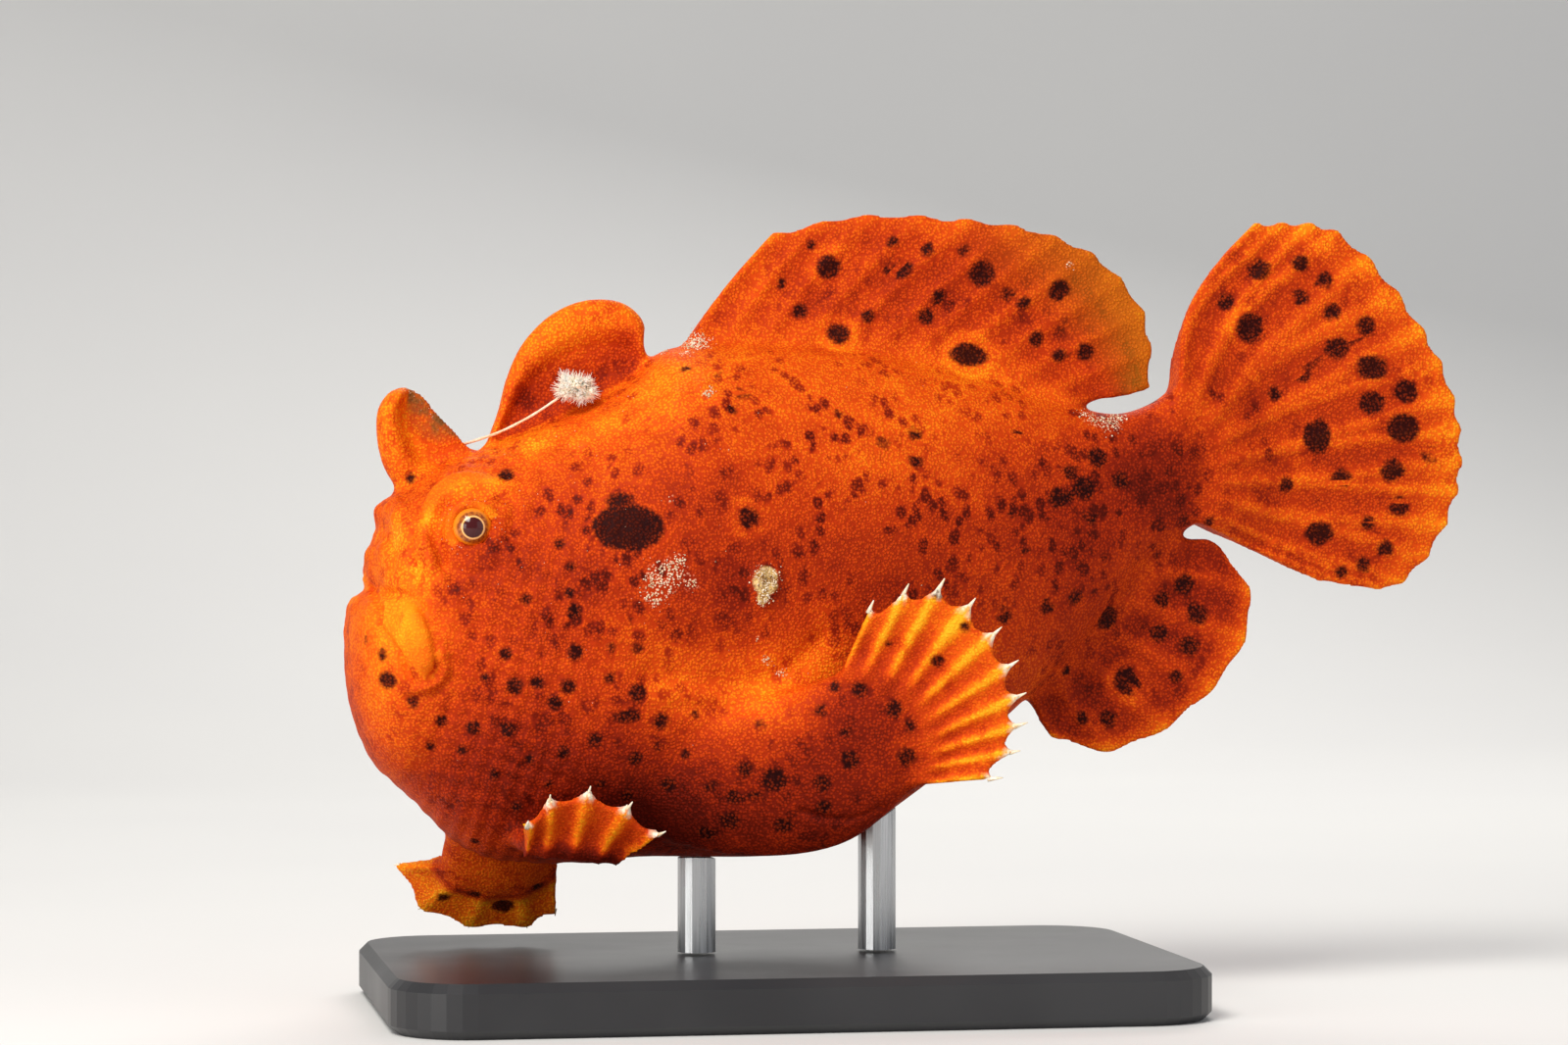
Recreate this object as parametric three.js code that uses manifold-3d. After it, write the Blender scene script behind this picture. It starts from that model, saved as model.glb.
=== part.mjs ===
// Painted frogfish, life size, swimming above a plain display stand.
// Millimetres, +Z up, head towards -X, the fish's left side towards -Y.
// The origin is the middle of the stand's underside. Side outlines are [x, z] in the middle plane.

import * as THREE from 'three';
import { mergeVertices } from 'three/addons/utils/BufferGeometryUtils.js';
import Module from 'manifold-3d';

const wasm = await Module();
wasm.setup();

// Fit
const gap = 0.3;          // left between pieces that meet
const sliver = 0.05;      // shorter edges are closed up after a cut

// Body
const backLine = [[-43.4, 58.7], [-38.8, 61.5], [-33.8, 63.5], [-24.9, 67.4], [-15.9, 72.4], [-13.6, 74.6], [-10.6, 75.5],
  [1.1, 75.7], [12.6, 74.7], [24.2, 72.1], [34.7, 69.0], [40.5, 68.0], [44.6, 69.3], [48.2, 72.0]];
const bellyLine = [[-43.5, 25.8], [-40.5, 23.0], [-36.8, 19.3], [-32.7, 17.4], [-26.0, 16.7], [-15.9, 17.3],
  [-1.1, 17.2], [4.6, 18.0], [10.3, 20.4], [16.1, 24.2], [23.0, 29.5], [35.8, 41.0], [46.5, 53.0], [49.3, 54.8]];
const chinLine = [[-43.5, 25.8], [-45.8, 28.0], [-47.9, 32.5], [-48.9, 36.9], [-49.1, 41.3], [-48.9, 44.8],
  [-47.6, 47.0], [-45.9, 48.1], [-46.6, 49.6], [-46.3, 52.2], [-45.2, 54.6], [-45.1, 56.6], [-44.4, 57.9], [-43.4, 58.7]];
const tailEnd = [[48.2, 72.0], [50.3, 66.5], [50.9, 62.0], [50.6, 58.4], [49.3, 54.8]];
const middleLine = [[-36.5, 43.0], [-20.0, 44.5], [0.0, 46.5], [18.0, 52.0], [36.0, 58.8], [47.0, 61.9]];
const halfWidths = [[-36.5, 15.0], [-27.0, 17.4], [-17.0, 18.4], [-6.0, 17.8], [6.0, 15.6], [18.0, 12.2],
  [30.0, 8.4], [40.0, 5.4], [47.0, 4.0]];
const bodySpans = { back: 32, tail: 4, face: 20, rings: 8 };
const fullness = { back: 2.1, belly: 2.3, face: 2.5 };   // 2 is an ellipse, more is squarer
const swellings = [
  { at: [-36.2, 54.8], reach: [5.0, 5.0], height: 1.1 },     // orbit
  { at: [-30.0, 56.5], reach: [3.6, 4.0], height: -0.7 },    // dip behind the eye
  { at: [-34.0, 43.0], reach: [7.0, 8.0], height: 0.9 },     // cheek
  { at: [-38.6, 35.5], reach: [3.2, 3.4], height: -0.6 },    // fold under the mouth corner
  { at: [-9.0, 40.5], reach: [10.0, 3.6], height: -1.1 },    // hollow over the pectoral arm
  { at: [-12.0, 55.0], reach: [10.0, 8.0], height: 0.6 },    // shoulder
];
const headCut = [[-12.6, 78.0], [-14.2, 12.0]];
const stalkCut = [[35.4, 72.0], [38.2, 38.0]];

// Mouth
const mouthLine = [[-51.0, 48.1], [-46.4, 48.1], [-45.2, 46.4], [-44.4, 43.2], [-43.4, 40.6], [-42.2, 37.8],
  [-42.0, 34.4], [-42.7, 30.6], [-44.4, 26.6], [-46.4, 22.6]];
const mouthWidths = [1.0, 0.8, 0.6, 0.5, 0.4, gap, gap, gap, gap, gap];
const upperLip = [[-42.4, 38.6, 11.0], [-43.3, 42.2, 8.6], [-45.0, 46.9, 4.8], [-46.2, 49.0, 0.0]];
const lowerLip = [[-43.6, 38.6, 9.8], [-45.2, 42.4, 7.3], [-46.8, 45.5, 4.2], [-47.7, 46.2, 0.0]];
const jawPlate = { front: [[-44.4, 46.2], [-43.9, 43.6], [-42.8, 40.8], [-41.9, 38.2]],
  rear: [[-42.2, 47.0], [-40.6, 44.4], [-39.9, 41.4], [-40.3, 38.4]], rise: 1.1 };

// Head furniture
const eye = { at: [-36.2, 54.8], radius: 2.6, sink: 1.5, rim: 2.9, rimTube: 0.75 };
const browArc = [[-40.8, 54.6], [-39.5, 58.0], [-36.6, 59.9], [-32.8, 59.4]];
const nostril = { at: [-44.7, 53.4], aside: 2.6, height: 1.2, radius: 0.75, bore: 0.35 };
const lure = { radius: 0.32, path: [[-44.9, 57.0, 2.6], [-43.3, 60.0, 3.4], [-40.2, 62.4, 3.6], [-36.8, 63.8, 2.4],
  [-34.2, 64.7, 0.3], [-31.8, 65.6, -2.4], [-28.6, 67.3, -4.1], [-25.6, 69.3, -5.0]] };
const bait = { at: [-23.4, 70.4, -5.2], core: 1.5, reach: 3.2, threads: 20, thread: 0.55 };

// Fins: paired points of root and tip, a ray at each end and the rest spread between.
// A fin is sunk into what carries it and cut, or starts a little way off it.
const dorsal = { rays: 12, rows: 5, stump: 1.5, edge: 0.3, ridge: 0.34, scallop: 0.5, sink: 2.4, wave: 0.7,
  bow: [-0.4, 0.2],
  root: [[-10.6, 75.4], [-2.6, 75.7], [5.2, 75.3], [12.8, 74.5], [20.0, 73.0], [27.4, 71.2], [35.4, 69.0]],
  tip: [[-0.4, 88.2], [9.8, 90.4], [20.6, 90.2], [30.2, 89.0], [38.4, 85.6], [43.8, 79.0], [44.3, 70.6]] };
const anal = { rays: 7, rows: 5, stump: 1.3, edge: 0.3, ridge: 0.36, scallop: 0.5, sink: 2.4, wave: 0.6,
  bow: [1.2, 0.9],
  root: [[46.4, 53.2], [43.6, 49.7], [40.8, 46.4], [38.2, 43.4], [35.4, 40.6], [32.4, 37.8], [29.4, 35.4]],
  tip: [[53.0, 52.0], [56.3, 47.4], [55.4, 41.6], [51.4, 36.0], [45.8, 31.4], [39.2, 29.0], [32.4, 30.8]] };
const caudal = { rays: 9, rows: 6, stump: 2.2, edge: 0.3, ridge: 0.4, scallop: 0.55, sink: 2.2, wave: 0.9,
  bow: [-2.6, 0.6],
  root: [[47.2, 71.2], [49.4, 68.0], [50.7, 64.8], [50.9, 62.0], [50.7, 59.4], [50.2, 57.2], [49.4, 55.5]],
  tip: [[57.2, 90.1], [66.4, 89.5], [76.3, 79.1], [81.2, 68.0], [81.1, 57.8], [74.6, 48.2], [64.6, 48.6]] };
const pectoral = { rays: 10, rows: 5, stump: 1.3, edge: 0.3, ridge: 0.5, scallop: 2.0, start: 0.7, sparse: true,
  root: [[4.2, 39.0, -19.6], [6.7, 38.3, -20.2], [9.2, 37.1, -20.6], [11.3, 35.9, -20.8], [12.7, 34.2, -20.8],
    [13.5, 32.2, -20.7], [13.8, 30.4, -20.4], [13.7, 28.4, -20.0], [13.1, 26.3, -19.6]],
  tip: [[6.2, 44.6, -22.4], [10.2, 46.6, -24.0], [14.2, 46.8, -25.0], [17.6, 44.2, -25.6], [20.0, 40.6, -25.8],
    [21.4, 36.9, -25.6], [21.7, 33.4, -25.0], [21.3, 30.2, -24.2], [19.0, 27.0, -23.2]] };
const nearFoot = { rays: 5, rows: 3, stump: 1.0, edge: 0.3, ridge: 0.6, scallop: 1.6, sink: 0.9,
  root: [[-30.4, 19.6, -13.6], [-27.9, 19.6, -14.6], [-25.2, 19.4, -15.0], [-22.4, 19.0, -14.8], [-19.8, 18.7, -14.0]],
  tip: [[-30.6, 21.8, -18.0], [-28.2, 24.2, -18.8], [-24.2, 25.0, -19.4], [-20.1, 23.4, -19.4], [-16.7, 20.8, -18.8]] };
const farFoot = { rays: 5, rows: 3, stump: 1.2, edge: 0.3, ridge: 0.5, scallop: 0.9, sink: 1.6,
  root: [[-37.4, 16.4, 8.8], [-35.6, 14.2, 9.6], [-32.2, 13.2, 10.0], [-28.2, 13.4, 9.8], [-24.2, 15.6, 8.8]],
  tip: [[-41.6, 15.7, 13.2], [-38.8, 11.0, 13.8], [-33.4, 8.9, 14.2], [-27.0, 8.8, 14.0], [-23.7, 10.4, 13.0]] };

// Fleshy limbs: upper and lower edge of the lobe from the body out to the fin's root
const armLobe = { rows: 7, thick: [5.0, 4.4, 3.6, 1.7],
  upper: [[-15.0, 35.8, -12.0], [-7.6, 35.8, -15.6], [-1.6, 36.6, -17.8], [4.2, 39.0, -19.6]],
  lower: [[-13.0, 19.6, -8.0], [-4.0, 18.2, -11.6], [5.4, 19.8, -15.4], [13.1, 26.3, -19.6]] };
const nearLeg = { rows: 4, thick: [2.6, 2.4, 2.0, 1.6],
  upper: [[-32.0, 21.4, -4.0], [-31.8, 20.6, -8.0], [-31.2, 20.0, -11.4], [-30.4, 19.6, -13.6]],
  lower: [[-17.4, 21.2, -4.0], [-17.8, 20.2, -8.0], [-18.6, 19.2, -11.4], [-19.8, 18.7, -14.0]] };
const farLeg = { rows: 4, thick: [2.6, 2.4, 2.0, 1.4],
  upper: [[-37.6, 21.4, 3.4], [-37.4, 19.4, 5.4], [-37.4, 17.6, 7.4], [-37.4, 16.4, 8.8]],
  lower: [[-24.4, 20.6, 3.4], [-24.6, 18.6, 5.6], [-24.2, 16.9, 7.6], [-24.2, 15.6, 8.8]] };

// Free dorsal spines
const hornSpine = { rows: 10, core: 2.3, web: 0.35, coreShare: 0.42,
  front: [[-42.6, 57.4], [-43.6, 59.2], [-45.0, 62.2], [-45.6, 65.4], [-45.4, 68.2], [-44.2, 70.0], [-43.0, 70.6]],
  rear: [[-33.2, 61.6], [-34.4, 63.6], [-36.6, 65.6], [-38.2, 67.2], [-39.6, 68.8], [-40.6, 69.9], [-41.6, 70.5]] };
const humpSpine = { rows: 6, rim: 1.7, web: 0.75, stump: 2.2, sink: 2.0,
  rim3: [[-33.4, 63.8], [-31.8, 67.9], [-30.8, 71.8], [-28.9, 75.8], [-25.4, 79.2], [-21.4, 80.7], [-17.4, 80.3],
    [-15.2, 78.2], [-15.2, 75.6], [-14.4, 73.6]] };

// Stand
const stand = { length: 92, width: 58, height: 6, corner: 8, edge: 1.0, rod: 2.2, rodAt: [-9, 12] };

// Colours, roughness
const paints = {
  skin: [0xe8670c, 0.6], darkSkin: [0xb8420a, 0.6], lip: [0xf79a12, 0.45], fin: [0xe25408, 0.6],
  paleFin: [0xf59a2a, 0.55], lure: [0xf6ead2, 0.5], eye: [0x3a0f08, 0.15], stand: [0x2b2b2d, 0.5], rod: [0x9a9ca0, 0.3],
};

// Curves and tables

function solidPoint([x, z, y = 0]) {
  return new THREE.Vector3(x, y, z);
}

function curveThrough(points) {
  return new THREE.CatmullRomCurve3(points.map((point) => solidPoint(point)));
}

function smoothstep(low, high, value) {
  return THREE.MathUtils.smoothstep(value, low, high);
}

function tableAt(table, x) {
  const last = table.length - 1;
  if (x <= table[0][0]) return table[0][1];
  if (x >= table[last][0]) return table[last][1];
  const i = table.findIndex(([edge]) => edge > x) - 1;
  const slope = (k) => {
    const before = table[Math.max(k - 1, 0)];
    const after = table[Math.min(k + 1, last)];
    return (after[1] - before[1]) / (after[0] - before[0]);
  };
  const [x0, y0] = table[i];
  const [x1, y1] = table[i + 1];
  const span = x1 - x0;
  const t = (x - x0) / span;
  return (2 * t ** 3 - 3 * t ** 2 + 1) * y0 + (t ** 3 - 2 * t ** 2 + t) * span * slope(i)
    + (3 * t ** 2 - 2 * t ** 3) * y1 + (t ** 3 - t ** 2) * span * slope(i + 1);
}

function seededDraw(seed) {
  let state = seed;
  return () => {
    state = (state * 1664525 + 1013904223) % 4294967296;
    return state / 4294967296;
  };
}

// Meshes and solids

function shell(points, faces) {
  const geometry = new THREE.BufferGeometry().setFromPoints(points);
  geometry.setIndex(faces.flat());
  return welded(geometry);
}

function welded(geometry) {
  geometry.deleteAttribute('normal');
  geometry.deleteAttribute('uv');
  const merged = mergeVertices(geometry, 1e-4);
  const corners = merged.index.array;
  const kept = [];
  for (let i = 0; i < corners.length; i += 3) {
    const [a, b, c] = corners.subarray(i, i + 3);
    if (a !== b && b !== c && c !== a) kept.push(a, b, c);
  }
  merged.setIndex(kept);
  return merged;
}

function toSolid(geometry) {
  const merged = welded(geometry);
  const mesh = new wasm.Mesh({ numProp: 3, vertProperties: merged.attributes.position.array,
    triVerts: new Uint32Array(merged.index.array) });
  return new wasm.Manifold(mesh);
}

function toGeometry(solid) {
  const mesh = solid.getMesh();
  const geometry = new THREE.BufferGeometry();
  geometry.setAttribute('position', new THREE.BufferAttribute(new Float32Array(mesh.vertProperties), 3));
  geometry.setIndex(Array.from(mesh.triVerts));
  return geometry;
}

// One surface again, so that the short edges that a cut leaves can be closed up
function cleaned(solid, limit = sliver) {
  return solid.asOriginal().simplify(limit / 2).asOriginal().simplify(limit);
}

function largest(solid, limit = sliver) {
  const pieces = solid.decompose().sort((a, b) => b.volume() - a.volume());
  return cleaned(pieces[0], limit);
}

function swollen(geometry, distance) {
  const wider = geometry.clone();
  wider.computeVertexNormals();
  const { position, normal } = wider.attributes;
  for (let i = 0; i < position.count; i++) {
    position.setXYZ(i, position.getX(i) + distance * normal.getX(i), position.getY(i) + distance * normal.getY(i),
      position.getZ(i) + distance * normal.getZ(i));
  }
  return wider;
}

function mirrored(geometry) {
  const other = geometry.clone().scale(1, -1, 1);
  const corners = other.index.array;
  for (let i = 0; i < corners.length; i += 3) {
    [corners[i], corners[i + 1]] = [corners[i + 1], corners[i]];
  }
  return other;
}

// A closed blade: sheet(i, j) is its middle, half(i, j) its half thickness, split alike on both faces
function blade(columns, rows, sheet, half) {
  const middle = [];
  for (let j = 0; j <= rows; j++) {
    for (let i = 0; i <= columns; i++) middle.push(sheet(i, j));
  }
  const at = (i, j) => middle[THREE.MathUtils.clamp(j, 0, rows) * (columns + 1)
    + THREE.MathUtils.clamp(i, 0, columns)];
  const front = [];
  const back = [];
  for (let j = 0; j <= rows; j++) {
    for (let i = 0; i <= columns; i++) {
      const across = at(i + 1, j).clone().sub(at(i - 1, j));
      const along = at(i, j + 1).clone().sub(at(i, j - 1));
      const normal = across.cross(along).normalize().multiplyScalar(half(i, j));
      front.push(at(i, j).clone().add(normal));
      back.push(at(i, j).clone().sub(normal));
    }
  }
  const count = front.length;
  const corner = (i, j) => j * (columns + 1) + i;
  const faces = [];
  for (let j = 0; j < rows; j++) {
    for (let i = 0; i < columns; i++) {
      const [a, b, c, d] = [corner(i, j), corner(i + 1, j), corner(i + 1, j + 1), corner(i, j + 1)];
      faces.push([a, b, c], [a, c, d]);
      faces.push([a + count, c + count, b + count], [a + count, d + count, c + count]);
    }
  }
  const border = [];
  for (let i = 0; i < columns; i++) border.push([corner(i, 0), corner(i + 1, 0)]);
  for (let j = 0; j < rows; j++) border.push([corner(columns, j), corner(columns, j + 1)]);
  for (let i = columns; i > 0; i--) border.push([corner(i, rows), corner(i - 1, rows)]);
  for (let j = rows; j > 0; j--) border.push([corner(0, j), corner(0, j - 1)]);
  for (const [a, b] of border) {
    faces.push([b, a, a + count], [b, a + count, b + count]);
  }
  return shell([...front, ...back], faces);
}

// A closed tube: rise(t) and width(t) are its half sizes along and across the given up direction
function tube(curve, steps, sides, rise, width, up) {
  const points = [];
  const faces = [];
  for (let k = 0; k <= steps; k++) {
    const t = k / steps;
    const centre = curve.getPointAt(t);
    const along = curve.getTangentAt(t);
    const side = along.clone().cross(up(centre)).normalize();
    const top = side.clone().cross(along).normalize();
    for (let s = 0; s < sides; s++) {
      const angle = 2 * Math.PI * s / sides;
      points.push(centre.clone().addScaledVector(side, width(t) * Math.cos(angle))
        .addScaledVector(top, rise(t) * Math.sin(angle)));
    }
  }
  for (let k = 0; k < steps; k++) {
    for (let s = 0; s < sides; s++) {
      const [a, b] = [k * sides + s, k * sides + (s + 1) % sides];
      faces.push([a, b + sides, b], [a, a + sides, b + sides]);
    }
  }
  const first = points.push(curve.getPointAt(0)) - 1;
  const last = points.push(curve.getPointAt(1)) - 1;
  for (let s = 0; s < sides; s++) {
    faces.push([first, s, (s + 1) % sides]);
    faces.push([last, steps * sides + (s + 1) % sides, steps * sides + s]);
  }
  return shell(points, faces);
}

// The body

function bodyRim() {
  const rim = [];
  const middle = curveThrough(middleLine);
  const add = (line, spans, anchor, full, skipLast = true) => {
    const curve = curveThrough(line);
    for (let i = 0; i <= spans - (skipLast ? 1 : 0); i++) {
      rim.push({ point: curve.getPointAt(i / spans), anchor: anchor(i / spans), full });
    }
  };
  const head = middle.getPointAt(0);
  const tail = middle.getPointAt(1);
  add(backLine, bodySpans.back, (t) => middle.getPointAt(t), fullness.back);
  add(tailEnd, bodySpans.tail, () => tail, fullness.back);
  add([...bellyLine].reverse(), bodySpans.back, (t) => middle.getPointAt(1 - t), fullness.belly);
  add(chinLine, bodySpans.face, () => head, fullness.face);
  return rim;
}

function bodyGeometry() {
  const rim = bodyRim();
  const count = rim.length;
  const points = [];
  const faces = [];
  for (const side of [-1, 1]) {
    const base = points.length;
    for (let j = 0; j <= bodySpans.rings; j++) {
      const angle = j / bodySpans.rings * Math.PI / 2;
      for (const { point, anchor, full } of rim) {
        const spread = j === bodySpans.rings ? 0 : Math.cos(angle) ** (2 / full);
        const out = side * tableAt(halfWidths, anchor.x) * Math.sin(angle) ** (2 / full);
        points.push(anchor.clone().lerp(point, spread).setY(out));
      }
    }
    for (let j = 0; j < bodySpans.rings; j++) {
      for (let i = 0; i < count; i++) {
        const a = base + j * count + i;
        const b = base + j * count + (i + 1) % count;
        const quad = side > 0 ? [[a, b, b + count], [a, b + count, a + count]]
          : [[a, b + count, b], [a, a + count, b + count]];
        faces.push(...quad);
      }
    }
  }
  return shaped(shell(points, faces));
}

function swellingAt(x, z) {
  let height = 0;
  for (const { at, reach, height: top } of swellings) {
    height += top * Math.exp(-(((x - at[0]) / reach[0]) ** 2) - ((z - at[1]) / reach[1]) ** 2);
  }
  return height;
}

function shaped(geometry) {
  geometry.computeVertexNormals();
  const { position, normal } = geometry.attributes;
  for (let i = 0; i < position.count; i++) {
    const [x, y, z] = [position.getX(i), position.getY(i), position.getZ(i)];
    const push = swellingAt(x, z) * smoothstep(0, 6, Math.abs(y));
    position.setXYZ(i, x + push * normal.getX(i), y + push * normal.getY(i), z + push * normal.getZ(i));
  }
  return geometry;
}

const body = bodyGeometry();

// The skin's distance from the middle plane at [x, z], on the left side
function skinAt(x, z) {
  const { position } = body.attributes;
  const corners = body.index.array;
  const ray = new THREE.Ray(new THREE.Vector3(x, -60, z), new THREE.Vector3(0, 1, 0));
  const [a, b, c, hit] = [0, 1, 2, 3].map(() => new THREE.Vector3());
  for (let i = 0; i < corners.length; i += 3) {
    a.fromBufferAttribute(position, corners[i]);
    b.fromBufferAttribute(position, corners[i + 1]);
    c.fromBufferAttribute(position, corners[i + 2]);
    if (a.y + b.y + c.y < 0 && ray.intersectTriangle(a, b, c, true, hit)) return -hit.y;
  }
  throw new Error(`no skin at ${x}, ${z}`);
}

function onSkin([x, z], lift = 0) {
  return new THREE.Vector3(x, -skinAt(x, z) - lift, z);
}

// Slabs that part the body, thin in the side view and right through it

function slab(line, widths) {
  const curve = new THREE.SplineCurve(line.map(([x, z]) => new THREE.Vector2(x, z)));
  const steps = 4 * (line.length - 1);
  const [one, other] = [[], []];
  for (let k = 0; k <= steps; k++) {
    const t = k / steps;
    const at = curve.getPoint(t);
    const along = curve.getTangent(t);
    const width = tableAt(widths.map((value, i) => [i / (widths.length - 1), value]), t) / 2;
    one.push(new THREE.Vector2(at.x - along.y * width, at.y + along.x * width));
    other.unshift(new THREE.Vector2(at.x + along.y * width, at.y - along.x * width));
  }
  const shape = new THREE.Shape([...one, ...other]);
  const geometry = new THREE.ExtrudeGeometry(shape, { depth: 60, bevelEnabled: false });
  geometry.rotateX(Math.PI / 2);
  return toSolid(geometry.translate(0, 30, 0));
}

// Lips, jaw plate, brow, eye rim and nostrils, fused with the head

function acrossLip(points) {
  const left = points.map(([x, z, y]) => new THREE.Vector3(x, -y, z));
  const right = points.slice(0, -1).reverse().map(([x, z, y]) => new THREE.Vector3(x, y, z));
  return new THREE.CatmullRomCurve3([...left, ...right]);
}

function lip(points, thick, tall) {
  const taper = (t) => 0.35 + 0.65 * Math.sin(Math.PI * THREE.MathUtils.clamp(t, 0.02, 0.98)) ** 0.5;
  return tube(acrossLip(points), 16, 6, (t) => tall * taper(t), (t) => thick * taper(t),
    () => new THREE.Vector3(0.25, 0, 1));
}

function plateOfJaw() {
  const front = curveThrough(jawPlate.front);
  const rear = curveThrough(jawPlate.rear);
  const [columns, rows] = [4, 5];
  return blade(columns, rows, (i, j) => {
    const at = front.getPoint(j / rows).lerp(rear.getPoint(j / rows), i / columns);
    return onSkin([at.x, at.z], -0.1);
  }, (i, j) => 0.15 + jawPlate.rise * Math.sin(Math.PI * i / columns) ** 0.6
    * smoothstep(0, 0.3, j / rows) * smoothstep(0, 0.2, 1 - j / rows));
}

function brow() {
  const arc = new THREE.CatmullRomCurve3(browArc.map((point) => onSkin(point, -0.25)));
  const size = (t) => 0.15 + 0.95 * Math.sin(Math.PI * t) ** 0.7;
  return tube(arc, 7, 6, size, (t) => 1.3 * size(t), () => new THREE.Vector3(0, -1, 0));
}

function eyeCentre() {
  return onSkin(eye.at, -eye.sink);
}

function eyeRim() {
  const profile = [];
  for (let k = 0; k <= 6; k++) {
    const angle = 2 * Math.PI * (k % 6) / 6;
    profile.push(new THREE.Vector2(eye.rim + eye.rimTube * Math.cos(angle), eye.rimTube * Math.sin(angle)));
  }
  const ring = new THREE.LatheGeometry(profile, 16);
  const centre = eyeCentre();
  return welded(ring.translate(centre.x, centre.y - 0.9, centre.z));
}

function eyeball(radius) {
  const centre = eyeCentre();
  return welded(new THREE.SphereGeometry(radius, 16, 8).rotateX(Math.PI / 2)
    .translate(centre.x, centre.y, centre.z));
}

function nostrilTube() {
  const { height, radius, bore } = nostril;
  const profile = [[0, -1.2], [radius, -1.2], [0.8 * radius, height], [bore, height], [bore, 0.5 * height],
    [0, 0.5 * height]].map(([x, y]) => new THREE.Vector2(x, y));
  const geometry = new THREE.LatheGeometry(profile, 7);
  geometry.rotateZ(THREE.MathUtils.degToRad(68));
  return welded(geometry.translate(nostril.at[0], -nostril.aside, nostril.at[1]));
}

// Fins

function rayedFin(fin, forked = false) {
  const root = curveThrough(fin.root);
  const tip = curveThrough(fin.tip);
  const plain = fin.sparse ? [0, 0.33, 0.67] : [0, 0.26, 0.5, 0.74];
  const stations = forked ? [0, 0, 0, 0.5] : plain;
  const columns = [];
  for (let ray = 0; ray < fin.rays; ray++) {
    for (let s = 0; s < stations.length; s++) columns.push({ ray, s });
  }
  columns.length -= forked ? 1 : stations.length - 1;
  const crestOf = ({ s }, v) => {
    if (forked) return s === 3 ? 0 : (s === 1 ? 1 - smoothstep(0.35, 0.75, v) : 1);
    if (fin.sparse) return s === 0 ? 1 : 0.1;
    return s === 0 ? 1 : (s === 2 ? 0 : 0.25);
  };
  const placeOf = ({ ray, s }, v) => {
    const fork = 0.07 + 0.17 * smoothstep(0.35, 1, v);
    const shift = forked ? [-fork, 0, fork, 0.5][s] : stations[s];
    const first = forked ? -fork : 0;
    const length = fin.rays - 1 + (forked ? 2 * fork : 0);
    return (ray + shift - first) / length;
  };
  const sunkRows = fin.sink ? 1 : 0;
  const rows = fin.rows + sunkRows;
  const vOf = (j) => (j < sunkRows ? -1 : (j - sunkRows) / fin.rows);
  const sheet = (i, j) => {
    const v = vOf(j);
    const u = placeOf(columns[i], Math.max(v, 0));
    const from = root.getPoint(u);
    const to = tip.getPoint(u);
    const length = from.distanceTo(to);
    const crest = columns[i].s === 1 && forked ? 0.2 : crestOf(columns[i], 1);
    const begin = (1 - v) * (fin.start ?? 0) / length;
    const reach = v < 0 ? v * fin.sink / length : begin + v * (1 + fin.scallop * crest * v ** 2 / length);
    const point = from.clone().addScaledVector(to.clone().sub(from), reach);
    const [x, z] = fin.bow ?? [0, 0];
    const bow = Math.sin(Math.PI * Math.max(v, 0)) * (1 - u) ** 3;
    const wave = (fin.wave ?? 0) * Math.sin(2 * Math.PI * (1.3 * u + 0.15)) * Math.max(v, 0) ** 1.5;
    return point.add(new THREE.Vector3(x * bow, wave, z * bow));
  };
  const half = (i, j) => {
    const v = Math.max(vOf(j), 0);
    const stump = (fin.stump - fin.edge) * (1 - smoothstep(0, 0.4, v));
    return fin.edge + stump + fin.ridge * crestOf(columns[i], v) * (1 - 0.75 * smoothstep(0.7, 1, v));
  };
  return blade(columns.length - 1, rows, sheet, half);
}

function lobe(limb) {
  const upper = curveThrough(limb.upper);
  const lower = curveThrough(limb.lower);
  const root = curveThrough(limb.fin.root);
  const columns = 8;
  const thick = limb.thick.map((value, k) => [k / (limb.thick.length - 1), value]);
  return blade(columns, limb.rows, (i, j) => {
    const v = j / limb.rows;
    const u = (1 - Math.cos(Math.PI * i / columns)) / 2;
    const straight = upper.getPoint(v).lerp(lower.getPoint(v), u);
    const chord = upper.getPoint(1).lerp(lower.getPoint(1), u);
    const bulge = root.getPoint(u).sub(chord);
    return straight.addScaledVector(bulge, smoothstep(0, 1, v));
  }, (i, j) => {
    const edge = Math.sin(Math.PI * i / columns) ** 0.8;
    return 0.1 + tableAt(thick, j / limb.rows) * edge * (j === limb.rows ? 0.8 : 1);
  });
}

function horn() {
  const { rows, core, web, coreShare } = hornSpine;
  const front = curveThrough(hornSpine.front);
  const rear = curveThrough(hornSpine.rear);
  const across = [0, 0.04, 0.13, 0.28, 0.45, 0.6, 0.74, 0.88, 1];
  const columns = across.length - 1;
  return blade(columns, rows, (i, j) => front.getPoint(j / rows).lerp(rear.getPoint(j / rows), across[i]),
    (i, j) => {
      const v = j / rows;
      const share = coreShare + 0.25 * smoothstep(0.55, 1, v) + 0.3 * (1 - smoothstep(0, 0.3, v));
      const round = Math.sin(Math.PI * THREE.MathUtils.clamp(across[i] / share, 0, 1)) ** 0.7;
      const tip = 1 - 0.75 * smoothstep(0.8, 1, v);
      return web * (0.5 + 0.5 * smoothstep(0, 0.2, across[i])) + core * round * tip;
    });
}

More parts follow.
